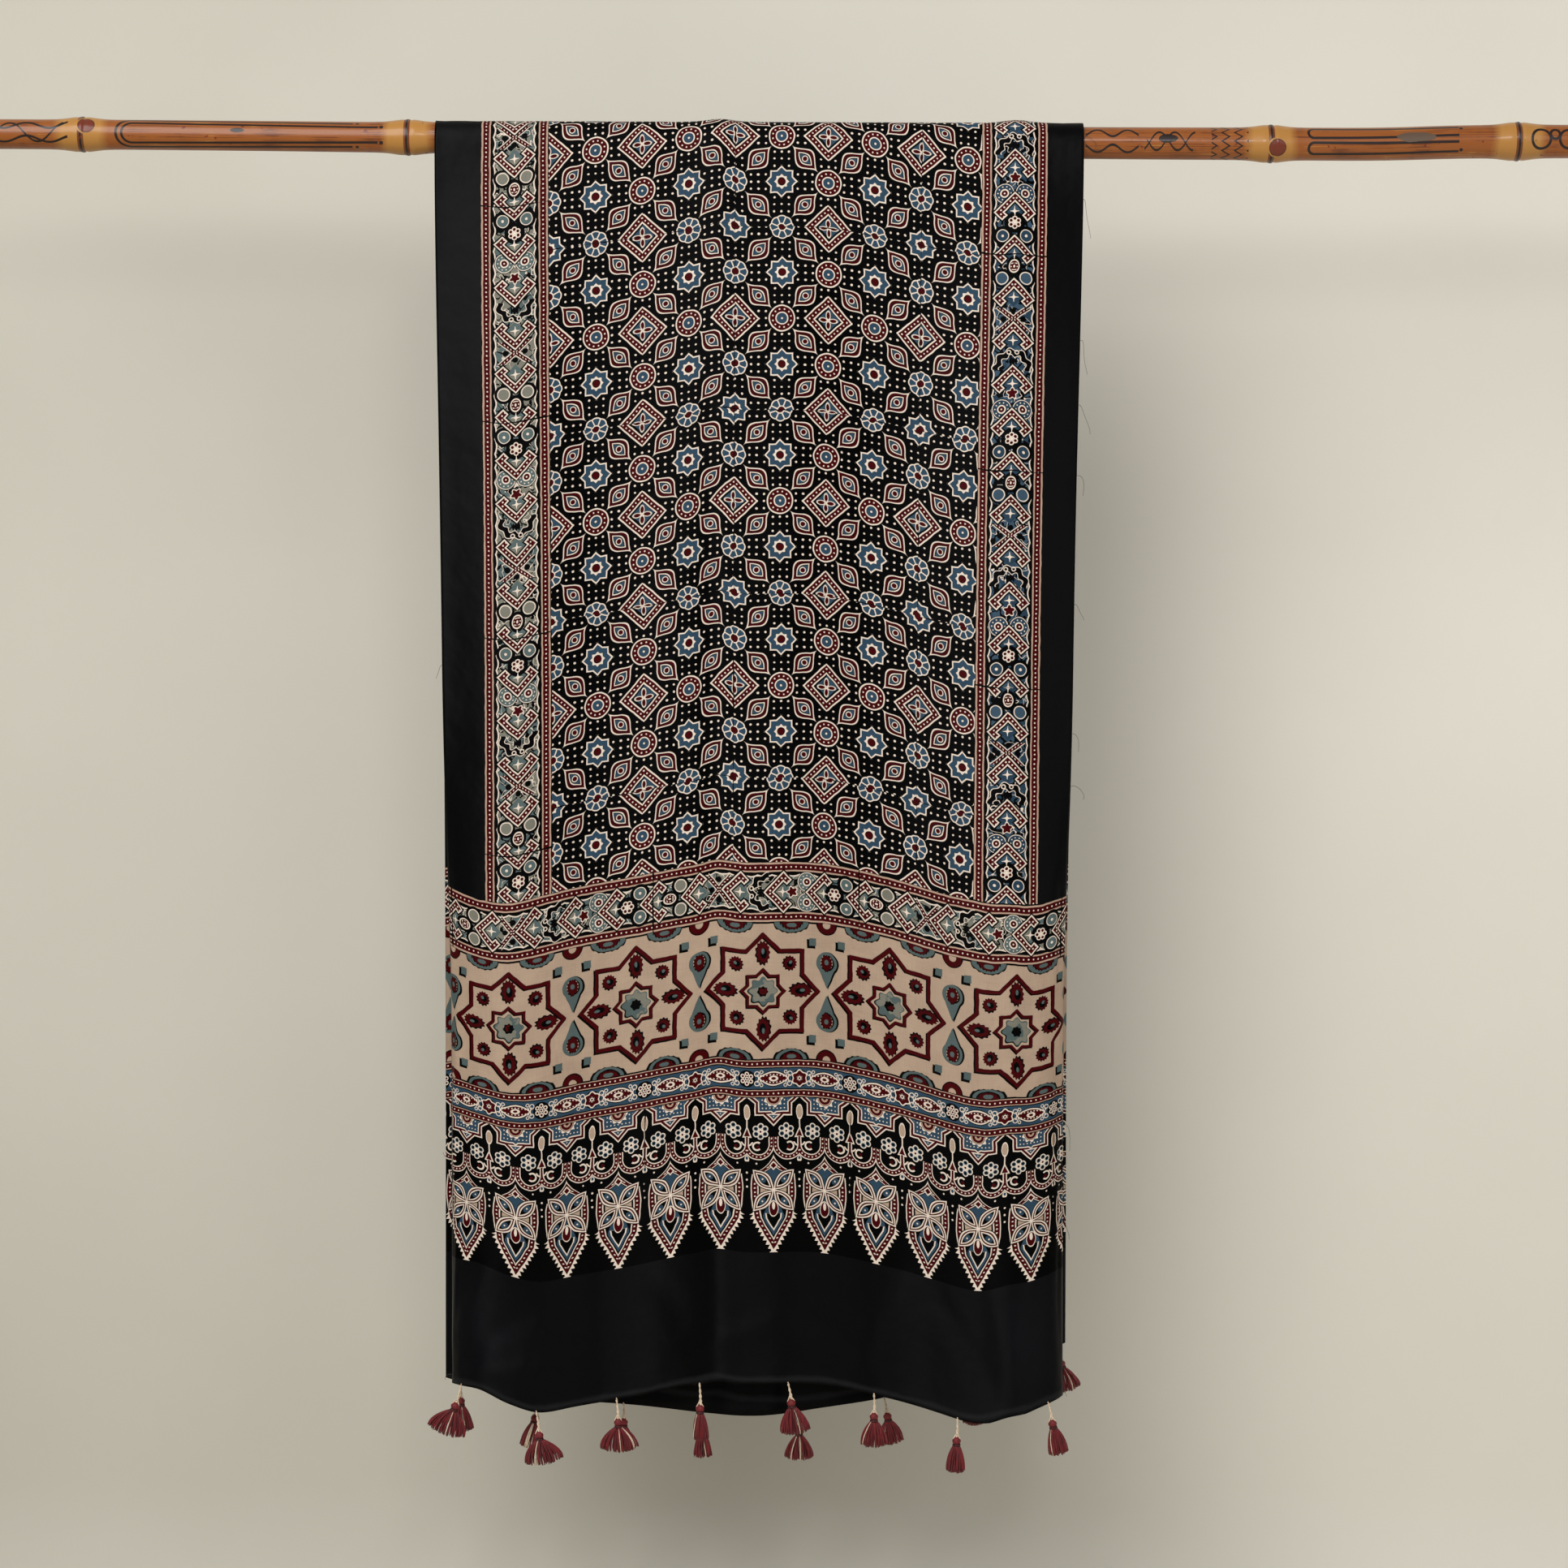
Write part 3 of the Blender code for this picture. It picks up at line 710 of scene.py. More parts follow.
eyeLines = """
g = min(281 - v, v - 248)
black: g - 7.8
blush: abs(g - 3.8) - 3.0
maroon: abs(g - 3.8) - 2.3
cream: hypot(g - 3.8, mod(u, 4.5) - 2.25) - 0.68
x = mod(u - 181 + 0.4, 45.8) - 22.9
y = v - 264.5
ay = abs(y)
ax = abs(x)
lens = (ay - 6.0 + 0.033 * x * x) * 0.85
black: lens - 0.7
cream: lens
maroon: lens + 1.0
cream: hypot(mod(x + 1.45, 2.9) - 1.45, ay - 3.2 + 0.016 * x * x) - 0.55 + 99 * max(0, ax - 9.5)
cream: hypot(x * 0.6, y) - 2.4
maroon: hypot(x * 0.6, y) - 1.2
fx = 22.9 - ax
odd = mod(floor((u - 181 + 23.3) / 45.8), 2)
part = mod(atan2(fx, y) + 0.5236, 1.0472) - 0.5236
r = hypot(fx, y)
petal = hypot(r * cos(part) - 4.1, r * sin(part))
black: r - 7.4
cream: petal - 1.9
maroon: petal - 1.0 + 99 * odd
maroon: max(r - 5.6 - 0.7 * cos(part * 6), 2.4 - r) + 99 * (1 - odd)
cream: abs(r - 6.3 - 0.7 * cos(part * 6)) - 0.5 + 99 * (1 - odd)
cream: r - 1.7
maroon: r - 0.9
cream: abs(hypot(fx - 8.6, ay - 4.2) - 1.9) - 0.35
cream: abs(abs(fx - 10.5) - 0.2 - ay * 0.4) - 0.45 + 99 * max(0, ay - 3.5)
cream: abs(hypot(fx - 12.4, ay - 5.6) - 1.3) - 0.3
"""

pointedLines = """
x = mod(u - 181 + 0.4, 45.8) - 22.9
ax = abs(x)
bx = 22.9 - ax
d = 248 - v
medal = min(max(ax - 16.2, d - 15.4), max((ax + d - 24.4) * 0.707, 11 - d))
medal = min(medal, (ax - 22.4 + 1.24 * d) * 0.63)
cream: medal
black: medal + 1.0
maroon: medal + 1.4
cream: medal + 3.0
blue: medal + 3.9
cream: hypot(mod(x + 1.6, 3.2) - 1.6, mod(d, 3.6) - 1.8) - 0.55 + 99 * max(0, medal + 5)
top = hypot(x, d)
cream: top - 7.6 - 0.8 * sin(atan2(x, d) * 9)
black: top - 6.4
blush: top - 6.0
maroon: top - 5.2
blush: top - 3.0
maroon: top - 1.5
blush: abs(bx * 2.5 + abs(d - 13) * 0.18) - 0.9
bud = hypot(bx * 2.3, d - 12.5)
cream: bud - 6.6
tan: bud - 5.4
cream: abs(bx) - 0.5 + 99 * max(0, abs(d - 23) - 5.5)
bell = max(bx - (d - 26) * 0.42, d - 33.5)
cream: bell - 0.7
maroon: bell + 0.3
fr = hypot(bx - 11.8, d - 28.8)
part = mod(atan2(bx - 11.8, d - 28.8) + 0.5236, 1.0472) - 0.5236
petal = hypot(fr * cos(part) - 4.5, fr * sin(part))
cream: petal - 2.7
pale: petal - 1.9
blue: petal - 1.5
black: petal - 1.1
cream: fr - 2.0
maroon: fr - 1.0
cr = hypot(bx - 8.6, d - 41.5)
cream: abs(cr - 3.4) - 0.7 + 99 * max(0, bx - 8.6 - abs(d - 41.5))
maroon: hypot(bx - 9.4, d - 42.2) - 1.5
cream: abs(hypot(bx, d - 36) - 5.2) - 0.6 + 99 * max(0, 38 - d)
wreath = abs(hypot(bx - 10.2, max(d, 40) - 40) - 11.0) + 99 * max(0, 33.5 - d)
cream: wreath - 2.5
maroon: wreath - 1.7
cream: hypot(wreath, mod(atan2(bx - 10.2, d - 40) * 11.0, 3.4) - 1.7) - 0.6 + 99 * max(0, 33.5 - d)
cream: hypot(bx * 1.3, d - 52 - bx * 0.5) - 2.6
blue: hypot(bx * 1.3, d - 52) - 1.5
cream: hypot(bx - 8.2, d - 56.5) - 0.75
y = d - 79.4
rise = max(0, (y + 32.5) / 18.5)
width = min(min(18.4 * rise * rise, 18.0 + 2 * cos(y * 0.083)), 0.585 * (53.4 - y))
body = (ax - width) * 0.82 + 99 * max(0, -32 - y)
teeth = 2.9 * mod(y * 0.27 + 0.3, 1) * min(1, max(0, (y - 19) * 0.5))
black: body - 1.2
cream: body - teeth + 0.3
black: body + 1.0
maroon: body + 1.25
cream: hypot(body + 3.1, mod(y, 3.6) - 1.8) - 0.62
cream: body + 4.9
black: body + 5.7
tan: max(body + 7.0, abs(y) * 2.6 - ax)
blue: max(body + 6.8, ax - abs(y) * 0.42)
cream: max(body + 8.6, 20 - y)
black: max(body + 9.5, 20 - y)
along = (ax + abs(y)) * 0.707
side = abs(ax - abs(y)) * 0.707
petal = max(side - 6.1 * sin(min(along, 25) * 0.1257), along - 25) * 0.86
black: petal - 0.7
cream: petal
maroon: petal + 1.05
cream: petal + 2.15
black: petal + 3.0
blue: hypot((along - 13.5) * 0.6, side) - 2.1
cream: hypot(along - 13.5, side) - 0.7
tulip = hypot(x * 1.7, y - 16) - 6.2
cream: tulip - 0.9
maroon: tulip
cream: hypot(x * 2.6, y - 13.5) - 3.4
cream: hypot(x, y) - 1.2
peak = ax + abs(y + 21)
cream: peak - 3.8
maroon: peak - 2.5
cream: hypot(bx, mod(y + 18, 6) - 3) - 0.85 + 99 * max(0, abs(y + 9) - 8.9)
cream: hypot(x, y - 53) - 2.9 - 0.9 * cos(atan2(x, y - 53) * 5)
black: abs(mod(u - 181 + 91.6, 183.2) - 91.6) - 2.6 * (cloud - 0.34)
"""


def printedSilk(name, text, starts, base, gloss):
    # Silk blend with cotton, block printed in natural dyes and washed soft: plain weave seen as faint slubs,
    # inks a little uneven and wobbly at their edges, and a low satin gloss along the folds
    material, tree, shader = newMaterial(name)
    inks = {ink: toLinear(code) for ink, code in inkColours.items()}
    place = addNode(tree, "UVMap", {"uv_map": "print"})
    drift = addNode(tree, "TexNoise", {}, {"Vector": place, "Scale": 0.11, "Detail": 1.5})
    patch = addNode(tree, "TexNoise", {}, {"Vector": place, "Scale": 0.045, "Detail": 3.0})
    split = addNode(tree, "SeparateXYZ", {}, {0: place})
    push = addNode(tree, "SeparateColor", {}, {0: drift.outputs[1]})
    known = {"rawU": split.outputs[0], "rawV": split.outputs[1], "pushU": push.outputs[0], "pushV": push.outputs[1],
             "cloud": patch}
    drawLines(tree, starts, known, inks, None)
    # the right border's ground and mist are deeper than the left one's: its "ground" is 1 and the left one's 0
    inks["ground"] = inks["pale"]
    if not isinstance(known.get("ground", 0.0), float):
        for ink, deeper in (("ground", "deepGround"), ("mist", "deepMist")):
            mixed = addNode(tree, "Mix", {"data_type": "RGBA"}, {0: known["ground"], 6: inks[ink], 7: inks[deeper]})
            inks[ink] = mixed.outputs[2]
    colour = drawLines(tree, text, known, inks, inks[base])
    # uneven dye: slubs stretched along warp and weft and soft patches darken or lighten the colour by up to a tenth
    for name, stretch in (("slub", (1.3, 0.07, 1)), ("weft", (0.05, 1.1, 1))):
        drawn = addNode(tree, "VectorMath", {"operation": "MULTIPLY"}, {0: place, 1: stretch})
        known[name] = addNode(tree, "TexNoise", {}, {"Vector": drawn, "Scale": 1.0, "Detail": 2.0})
    drawLines(tree, "shade = 0.62 + 0.22 * slub + 0.22 * weft + 0.32 * cloud", known, inks, None)
    even = addNode(tree, "CombineXYZ", {}, dict.fromkeys(range(3), known["shade"]))
    dyed = addNode(tree, "Mix", {"data_type": "RGBA", "blend_type": "MULTIPLY"}, {0: 1.0, 6: colour, 7: even})
    # threads are 0.1 mm apart; they are drawn 0.9 mm apart so that the weave shows at all
    drawLines(tree, "height = sin(rawU * 7) * sin(rawV * 7) * 0.12 + slub * 0.5 + weft * 0.5", known, inks, None)
    rumple = addNode(tree, "TexNoise", {}, {"Vector": place, "Scale": 0.02, "Detail": 3.0})
    soft = addNode(tree, "Bump", {}, {"Strength": 0.5, "Distance": 0.004, "Height": rumple})
    bump = addNode(tree, "Bump", {},
                   {"Strength": 0.25, "Distance": 0.0002, "Height": known["height"], "Normal": soft})
    feed(tree, shader, {
        "Base Color": dyed.outputs[2], "Normal": bump, "Roughness": 0.4, "IOR": 1.5, "Specular IOR Level": gloss,
        "Anisotropic": 0.85, "Anisotropic Rotation": 0.25,
        "Tangent": addNode(tree, "Tangent", {"direction_type": "UV_MAP", "uv_map": "print"})})
    return material


# painted highlight: a dark grey band along the hem, about 5 mm from the end, stands for light catching the turned-up
# hem's ridge
# painted sheen: two lighter blue-black patches near the plain end's lower corners stand for the satin gloss on the
# folds there
plainLines = """
haze: (hypot((u - 34) * 0.8, (v - 58) * 0.55) - 22) * 0.008
haze: (hypot((u - 520) * 0.8, (v - 62) * 0.5) - 24) * 0.008
rubbed: (abs(v - 5) - 2.5 + 5 * (cloud - 0.5)) * 0.12
"""

wobble = """
u = rawU + 1.3 * (pushU - 0.5)
v = rawV + 1.3 * (pushV - 0.5)
"""
fromEnd = wobble + "v = v - max(0, 2 * v - 2225)\n"      # the back end mirrors the front one
plainGloss, printGloss = 0.08, 0.03      # the printed inks dull the silk
# name: print formulas, where they start, first ink, gloss
clothMaterials = {
    "resist_dyed_black_silk": (plainLines, fromEnd, "night", plainGloss),
    "pointed_band_printed_silk": (pointedLines, fromEnd, "black", printGloss),
    "eye_band_printed_silk": (eyeLines, fromEnd, "blue", printGloss),
    "star_band_printed_silk": (starLines, fromEnd, "tan", printGloss),
    "cross_border_printed_silk": (borderLines, fromEnd + """
s = v - 399
w = 52
t = -u
pinch = -212.5
joint = -188
dotPitch = 4.4
ground = 0
""", "black", printGloss),
    "side_border_printed_silk": (borderLines, wobble + """
right = floor(u / 285)
s = (u - 40) * (1 - right) + (530 - u) * right
w = 58.5 - 1.5 * right
t = (2 * right - 1) * v
pinch = 881.7 * (right - 1) + 798.2 * right
joint = 818 * right - 858 * (1 - right)
dotPitch = 3.85
ground = right
""", "black", printGloss),
    "field_printed_silk": (fieldLines, wobble, "black", printGloss),
}


def makeRod():
    # A culm: points (x, -r cos a, r sin a + bend(x)), with r the taper and swellings less a fine groove at each ring
    rod = rodLook
    half, sides = rod["length"] / 2, rod["sides"]
    x = np.unique(np.concatenate([np.linspace(-half, half, 181)]
                                 + [ring + np.linspace(-0.024, 0.024, 33) for ring in rod["rings"]]).round(5))
    x = x[np.abs(x) <= half]
    bend = np.interp(x, rod["bendAt"], np.array(rod["bend"]) * mm)
    weights = np.exp(-((x[:, None] - x[None]) / 0.05) ** 2)
    bend = (weights * bend).sum(1) / weights.sum(1)
    radius = rodRadius(x)
    for ring in rod["rings"]:
        gap = (x - ring) / mm
        radius += (-0.7 * np.exp(-((gap - 3.2) / 1.1) ** 2) + 0.35 * np.exp(-((gap - 0.6) / 1.5) ** 2)
                   - 0.3 * np.exp(-((gap + 2.5) / 2) ** 2)) * mm
    turn = np.linspace(-math.pi, math.pi, sides + 1)
    unround = 0.008 * np.sin(2 * turn + x[:, None] * 9) + 0.004 * np.sin(3 * turn - x[:, None] * 21)
    r = radius[:, None] * (1 + unround)
    acrossAll, turnAll = np.broadcast_arrays(x[:, None], turn[None])
    points = np.stack([acrossAll, -r * np.cos(turn), r * np.sin(turn) + bend[:, None]], -1)
    bark = np.stack([acrossAll / mm, turnAll * rod["barkRadius"]], -1)
    # both ends are sawn square and show the culm's wall round a hollow
    ends = []
    for row, inward in ((points[0], 1), (points[-1], -1)):
        centre = row[:-1].mean(0)
        rings = [centre + (row - centre) * share + [depth * inward, 0, 0]
                 for share, depth in ((1.0, 0), (0.985, 0), (0.62, 0.0), (0.6, 0.0008), (0.58, 0.02), (0.01, 0.021))]
        ends.append(np.array(rings)[::-inward])
    body = np.concatenate([ends[0][:-1], points, ends[1][1:]])
    marks = np.concatenate([np.repeat(bark[:1], 5, 0), bark, np.repeat(bark[-1:], 5, 0)])
    kinds = np.zeros((len(body) - 1, sides), int)
    kinds[:4] = kinds[-4:] = 1
    item = surfaceObject("bamboo_culm", body, [varnishedBamboo(), sawnBamboo()], kinds.ravel(),
                         {"bark": marks.reshape(-1, 2)})
    sealAndFaceOut(item)
    return item


def sealAndFaceOut(item):
    # Joins the seam's doubled points and turns every face outwards
    bm = bmesh.new()
    bm.from_mesh(item.data)
    bmesh.ops.remove_doubles(bm, verts=bm.verts, dist=1e-6)
    holes = [edge for edge in bm.edges if edge.is_boundary]
    if holes:
        bmesh.ops.holes_fill(bm, edges=holes)
    bmesh.ops.recalc_face_normals(bm, faces=bm.faces)
    bm.to_mesh(item.data)
    bm.free()


def sawnBamboo():
    # Sawn bamboo end: pale straw wall full of darker fibre dots, matt
    material, tree, shader = newMaterial("sawn_bamboo_end")
    place = addNode(tree, "TexCoord").outputs["Object"]
    dots = addNode(tree, "TexVoronoi", {}, {"Vector": place, "Scale": 1400.0})
    shade = addNode(tree, "ValToRGB", {}, {0: dots})
    shade.color_ramp.elements[0].color = toLinear("#7b5a34")
    shade.color_ramp.elements[1].color = toLinear("#c8a871")
    shade.color_ramp.elements[1].position = 0.45
    feed(tree, shader, {"Base Color": shade, "Roughness": 0.75})
    return material


barkColours = {"brown": "#925019", "deep": "#6f3812", "straw": "#b07b38", "dark": "#1d0e07", "red": "#6e2a11",
               "smoke": "#5d4a3a"}
barkLines = """
grain = streak * 0.6 + cloud * 0.4
deep: (grain - 0.44) * 14
straw: (grain - 0.62) * -14
near = min(min(abs(x + 611), abs(x + 329)), min(abs(x + 58), min(abs(x - 199), min(abs(x - 419), abs(x - 633)))))
straw: (near - 15 - 10 * cloud) * 0.05
deep: near - 2.6
dark: near - 0.9
scarA = hypot((x + 606) * 0.9, s - 6)
scarB = hypot((x - 424) * 0.9, s + 5)
scar = min(scarA, scarB)
straw: scar - 8.8 + 2 * cloud
red: scar - 6.6
dark: abs(scar - 6.4) - 0.5 * cloud
red: (fleck - 0.3) * 30
h = abs(s)
bend = x + 566
loop = hypot(min(bend, 0), h)
dark: abs(loop - 14.5 + 0.014 * max(bend, 0)) - 1.15 + 99 * max(0, bend - 190)
dark: abs(loop - 9.6 + 0.012 * max(bend, 0)) - 1.1 + 99 * max(0, bend - 212)
dark: hypot(bend - 215, h - 7.2) - 1.7
dark: hypot(bend - 194, h - 12) - 1.5
dark: hypot((x + 476) * 0.4, s - 3) - 4.5 * cloud
dark: abs(abs(s - 3 * sin(x * 0.16)) - 6.5) - 1.15 + 99 * max(0, x + 622)
dark: abs(s - 9 * sin(x * 0.13 + 1)) - 1.15 + 99 * max(0, x + 626)
wave = abs(abs(s) - 7 - 3.4 * sin(x * 0.24))
dark: wave - 1.15 + 99 * max(0, abs(x - 281) - 23)
dark: hypot((x - 330) * 0.5, s - 2) - 7 * cloud
dark: abs(s - 8 * sin(x * 0.2)) - 1.15 + 99 * max(0, abs(x - 331) - 22)
dark: abs(s + 8 * sin(x * 0.2 + 0.5)) - 1.1 + 99 * max(0, abs(x - 331) - 20)
dark: abs(mod(x - 366 + 1.6 * abs(mod(s, 8) - 4), 11) - 5.5) - 1.15 + 99 * max(0, abs(x - 383) - 16)
far = x - 456
loopTwo = hypot(min(far, 0), abs(s - 1) - 7)
dark: abs(loopTwo - 5 + 0.006 * max(far, 0)) - 1.15 + 99 * max(0, far - 125) + 99 * max(0, -17 - far)
dark: hypot(far - 127, abs(s - 1) - 10) - 1.6
smoke: hypot((x - 548) * 0.3, s - 3) - 9 * cloud
dark: abs(hypot(mod(x - 640, 24) - 12, s) - 8) - 1.15 + 99 * max(0, 640 - x)
dark: abs(hypot(mod(x - 652, 24) - 12, s - 4) - 4) - 1.15 + 99 * max(0, 646 - x)
"""


def varnishedBamboo():
    # Bamboo culm, smoked brown, drawn on with a hot iron and varnished: warm brown with long fine fibres, tan beside
    # the rings, charred lines soft at their edges, and a clear wet-looking coat
    material, tree, shader = newMaterial("varnished_bamboo")
    inks = {ink: toLinear(code) for ink, code in barkColours.items()}
    place = addNode(tree, "UVMap", {"uv_map": "bark"})
    split = addNode(tree, "SeparateXYZ", {}, {0: place})
    known = {"x": split.outputs[0], "s": split.outputs[1]}
    for name, scale, detail in (("cloud", 0.035, 4.0), ("fleck", 0.12, 2.0)):
        known[name] = addNode(tree, "TexNoise", {}, {"Vector": place, "Scale": scale, "Detail": detail})
    for name, stretch, detail in (("streak", (0.012, 0.9, 1), 4.0), ("fibre", (0.02, 2.6, 1), 3.0)):
        drawn = addNode(tree, "VectorMath", {"operation": "MULTIPLY"}, {0: place, 1: stretch})
        known[name] = addNode(tree, "TexNoise", {}, {"Vector": drawn, "Scale": 1.0, "Detail": detail})
    colour = drawLines(tree, barkLines, known, inks, inks["brown"])
    bump = addNode(tree, "Bump", {}, {"Strength": 0.25, "Distance": 0.0003, "Height": known["fibre"]})
    feed(tree, shader, {"Base Color": colour, "Normal": bump, "Roughness": 0.4, "IOR": 1.5,
                        "Specular IOR Level": 0.3, "Coat Weight": 0.35, "Coat Roughness": 0.14})
    return material


tasselLook = {
    "gap": 0.9 * mm, "head": 7 * mm, "strands": 104, "strandRadius": 0.5 * mm,
    # across, lean, cord, fan, skirt, sideways push of the skirt, places of the cream strands from -1 to 1
    "front": (
        (13, -16, 15, 18, 23, -0.1, (0.05,)), (84, 7, 16, 18, 22, 0.15, (-0.5, -0.4)),
        (156, 4, 16, 17.5, 22, 0, (0.03, 0.75)), (230, 1, 17, 7, 24, 0, (-0.95,)),
        (308, 9, 13, 13, 24, 0, (0.3,)), (385, 0, 15, 12, 23, 0, (-0.8,)),
        (460, -2, 15, 8, 24, 0, (0.5,)), (542, 12, 14, 9, 24, 0, (-0.6,)),
    ),
    "back": (
        (14, 3, 13, 10, 23, 0, (0.2,)), (87, -12, 14, 8, 23, -0.1, (-0.3, -0.1, 0.3)),
        (163, 0, 12, 10, 22, 0, (0.0,)), (233, 2, 11, 8, 21, 0, (0.3,)),
        (319, 1, 13, 13, 22, 0, (-0.6, 0.1)), (396, 10, 13, 11, 21, 0, (-0.5, 0.5)),
        (477, 0, 15, 10, 23, 0, (0.1,)), (553, 14, 12, 12, 21, 0, (-0.2, 0.4)),
    ),
}


def tasselMesh(row, top, chance):
    # Cord: two strands twisted round each other. Head: a ball of wound thread. Skirt: strands that start at the neck,
    # spread as 1 - (1 - t)^1.8 and end on a shallow arc. All hang from the hem and lean together.
    across, lean, cord, fan, skirt, push, cream = row
    cord, fan, skirt, head = cord * mm, fan * mm, skirt * mm, tasselLook["head"]
    neck = cord + head
    points, faces, kinds, total = [], [], [], 0

    def add(newPoints, newFaces, kind):
        nonlocal total
        points.append(newPoints)
        faces.append(np.where(newFaces < 0, -1, newFaces + total))
        kinds.append(np.full(len(newFaces), kind))
        total += len(newPoints)

    drop = np.linspace(-2.5 * mm, cord + 1 * mm, 40)
    twist = drop / (4.6 * mm) * math.pi
    grow = 0.55 + 0.35 * smoothStep(0, cord, drop)
    swing = 0.5 * mm * np.sin(drop / cord * 2.2)
    forward = 0.6 * mm * (drop < 1 * mm)
    pair = [np.stack([swing + grow * mm * 0.75 * np.cos(twist + p), grow * mm * 0.75 * np.sin(twist + p) - forward,
                      -drop], -1) for p in (0, math.pi)]
    add(*tubes(np.array(pair), np.repeat(grow[None] * mm * 0.85, 2, 0), 8), 0)
    ridge = np.array([[[way * 3.0 * mm * t, -0.6 * mm, -(cord - 4 * mm + 5.5 * mm * t)]
                       for t in np.linspace(0, 1, 8)] for way in (-1, 1)])
    add(*tubes(ridge, np.full((2, 8), 0.55 * mm), 6), 0)
    t = np.linspace(0, 1, 30)
    ball = 0.3 * mm + 3.6 * mm * np.sin(math.pi * np.clip(t * 1.06, 0, 1)) ** 0.55 * (1 - 0.12 * t)
    ball = ball + 0.16 * mm * np.sin(t * 56) * np.sin(math.pi * t)
    middle = np.stack([0 * t, 0 * t, -(cord - 0.6 * mm + (head + 0.9 * mm) * t)], -1)
    add(*tubes(middle[None], ball[None], 20), 1)
    wind = np.linspace(0, 5 * math.pi, 44)
    loop = np.stack([3.15 * mm * np.cos(wind), 3.15 * mm * np.sin(wind),
                     -(neck - 1.4 * mm + 1.6 * mm * wind / wind[-1])], -1)
    add(*tubes(loop[None], np.full((1, 44), 0.42 * mm), 6), 2)
    count = tasselLook["strands"]
    spot = chance.uniform(-1, 1, count)
    spot = np.sign(spot) * np.abs(spot) ** 0.8
    depth = chance.uniform(-1, 1, count)
    t = np.linspace(0, 1, 8)
    spread = 1 - (1 - t) ** 1.8
    reach = np.clip(spot + push, -1.02, 1.02)
    endX = fan * reach * chance.uniform(0.93, 1.0, count)
    endY = 4.6 * mm * depth * np.sqrt(np.clip(1.05 - reach ** 2, 0.05, 1))
    startX, startY = 2.3 * mm * spot, 2.3 * mm * depth * np.sqrt(np.clip(1 - spot ** 2, 0, 1))
    long = skirt * (1 - 0.2 * min(1, fan / (18 * mm)) * reach ** 2) * chance.uniform(0.93, 1.0, count)
    curl = chance.uniform(-1, 1, (2, count)) * 0.7 * mm
    bow = np.sin(t[None] * math.pi * chance.uniform(0.7, 1.5, count)[:, None])
    x = startX[:, None] + (endX - startX)[:, None] * spread + curl[0][:, None] * bow
    y = startY[:, None] + (endY - startY)[:, None] * spread + curl[1][:, None] * bow
    z = -(neck - 0.6 * mm + (long + 0.6 * mm)[:, None] * t[None] ** 1.05)
    paths = np.stack([x, y, z], -1)
    taper = np.array([0.8, 1, 1, 1, 1, 1, 0.95, 0.7])
    radii = tasselLook["strandRadius"] * chance.uniform(0.8, 1.25, count)[:, None] * taper
    isCream = (np.abs(spot[:, None] - np.array(cream)[None]).min(1) < 0.045) & (depth < 0.35)
    for kind, chosen in ((1, ~isCream), (0, isCream)):
        if chosen.any():
            add(*tubes(paths[chosen], radii[chosen], 4), kind)
    whole = np.concatenate(points)
    a = math.radians(lean)
    turned = np.stack([whole[:, 0] * math.cos(a) - whole[:, 2] * math.sin(a), whole[:, 1],
                       whole[:, 0] * math.sin(a) + whole[:, 2] * math.cos(a)], -1)
    return turned + top, np.concatenate(faces), np.concatenate(kinds)


def spunThread(name, codes, twist):
    # Mercerised cotton floss: fine twisted fibres, soft sheen, and painted shade: the colour is darker where the
    # fibre bump is low, in the gaps between strands
    material, tree, shader = newMaterial(name)
    place = addNode(tree, "TexCoord").outputs["Object"]
    drawn = addNode(tree, "VectorMath", {"operation": "MULTIPLY"}, {0: place, 1: twist})
    fibre = addNode(tree, "TexNoise", {}, {"Vector": drawn, "Scale": 1.0, "Detail": 3.0})
    # painted shade: the ramp runs from the dark colour where the fibre noise, which is also the bump's height, is low
    # to the light colour where it is high
    shade = addNode(tree, "ValToRGB", {}, {0: fibre})
    shade.color_ramp.elements[0].position, shade.color_ramp.elements[1].position = 0.3, 0.7
    shade.color_ramp.elements[0].color, shade.color_ramp.elements[1].color = toLinear(codes[0]), toLinear(codes[1])
    bump = addNode(tree, "Bump", {}, {"Strength": 0.4, "Distance": 0.0002, "Height": fibre})
    feed(tree, shader, {"Base Color": shade, "Normal": bump, "Roughness": 0.6, "Sheen Weight": 0.08,
                        "Sheen Roughness": 0.4})
    return material


def makeTassels():
    threads = [spunThread("cream_cotton_cord", ("#c3a98b", "#e8d6bd"), (900, 900, 500)),
               spunThread("maroon_cotton_floss", ("#4a0508", "#84101a"), (1100, 1100, 90)),
               spunThread("dark_binding_thread", ("#2a0a0c", "#4d1417"), (900, 900, 900))]
    made = []
    for side in ("front", "back"):
        for number, row in enumerate(tasselLook[side], start=1):
            chance = np.random.default_rng(number + (40 if side == "back" else 0))
            across = np.array([row[0] * mm])
            front = side == "front"
            top = panelPoint(across, hemHang(across, front), front)[0] - [0, 0, tasselLook["gap"]]
            points, faces, kinds = tasselMesh(row, top, chance)
            tassel = buildObject(f"floss_tassel_{side}_{number}", points, faces, threads, kinds)
            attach(tassel, "root")
            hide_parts(f"tassel_{side}_{number}")
            made.append(tassel)
    return made


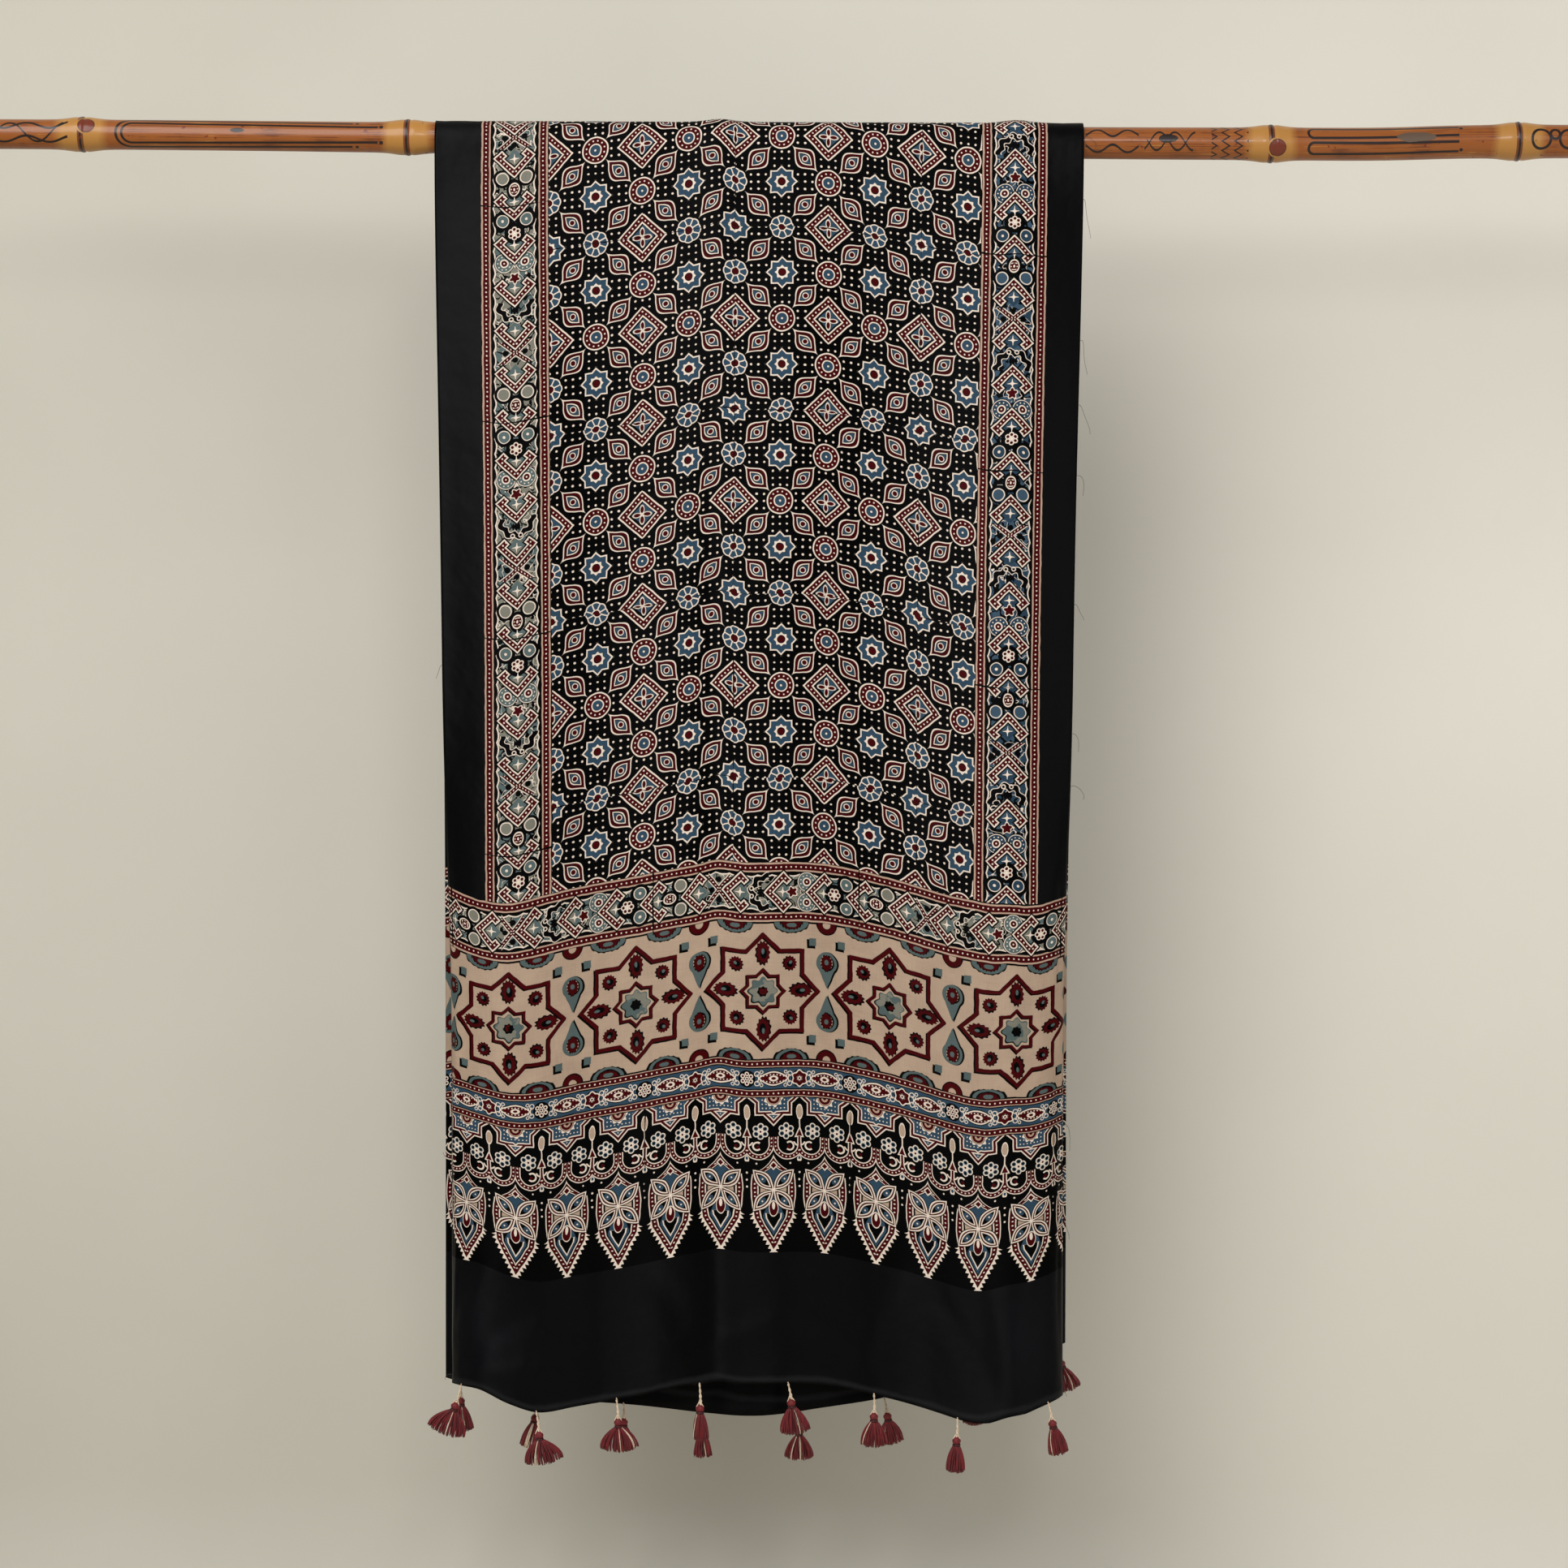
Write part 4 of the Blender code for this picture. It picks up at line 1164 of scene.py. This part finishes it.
threadLook = {
    "radius": 0.16 * mm,
    # v, start along u, reach sideways, drop, wave, all in millimetres
    "rows": (
        (1098, 561, 9, 10, 3), (1045, 561, 7, 34, 4), (925, 561, 8, 30, 5),
        (870, 561, 9, 26, 4), (810, 561, 6, 18, 3),
        (700, 561, 8, 14, 3), (590, 561, 6, 16, 2), (545, 561, 10, 12, 4), (245, 561, 7, 24, 3), (160, 561, 5, 20, 3),
        (14, 558, 6, 14, 3), (9, 0, -7, 5, 2), (640, 0, -5, 12, 2), (205, 0, -9, -4, 3),
    ),
}


def makeThreads():
    # Each thread leaves the edge sideways and falls: x = reach * (1 - (1 - t)^2), z = -drop * t^1.6, with a slow wave
    t = np.linspace(0, 1, 14)
    paths = []
    for v, u, reach, drop, wave in threadLook["rows"]:
        start = clothPlace(np.array([float(u)]), np.array([float(v)]))[0]
        x = reach * (1 - (1 - t) ** 2) + wave * 0.35 * np.sin(t * 5 + v)
        y = wave * 0.5 * np.sin(t * 4 + 2 * v) * t
        z = -drop * t ** 1.6 + wave * 0.3 * np.sin(t * 7)
        paths.append(start + np.stack([x - x[0], y - y[0], z - z[0]], -1) * mm)
    radii = np.full((len(paths), 14), threadLook["radius"]) * np.linspace(1.1, 0.8, 14)
    points, faces = tubes(np.array(paths), radii, 4)
    black = spunThread("loose_black_thread", ("#1c1b1d", "#3a3632"), (900, 900, 900))
    loose = buildObject("loose_threads", points, faces, [black])
    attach(loose, "root")
    return loose


setUpRoom(roomLook)
makeRoom(roomLook)
print("room ready")

silks = [printedSilk(name, *recipe) for name, recipe in clothMaterials.items()]
print("print drawn:", sum(len(silk.node_tree.nodes) for silk in silks), "nodes")
cloth = makeCloth(silks)
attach(cloth, "root")
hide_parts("cloth")
print("cloth hung:", len(cloth.data.polygons), "faces")

culm = makeRod()
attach(culm, "root")
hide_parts("bamboo_rod")
print("rod made")

tassels = makeTassels()
threads = makeThreads()
print("tassels and threads made:", sum(len(item.data.polygons) for item in tassels), "faces")
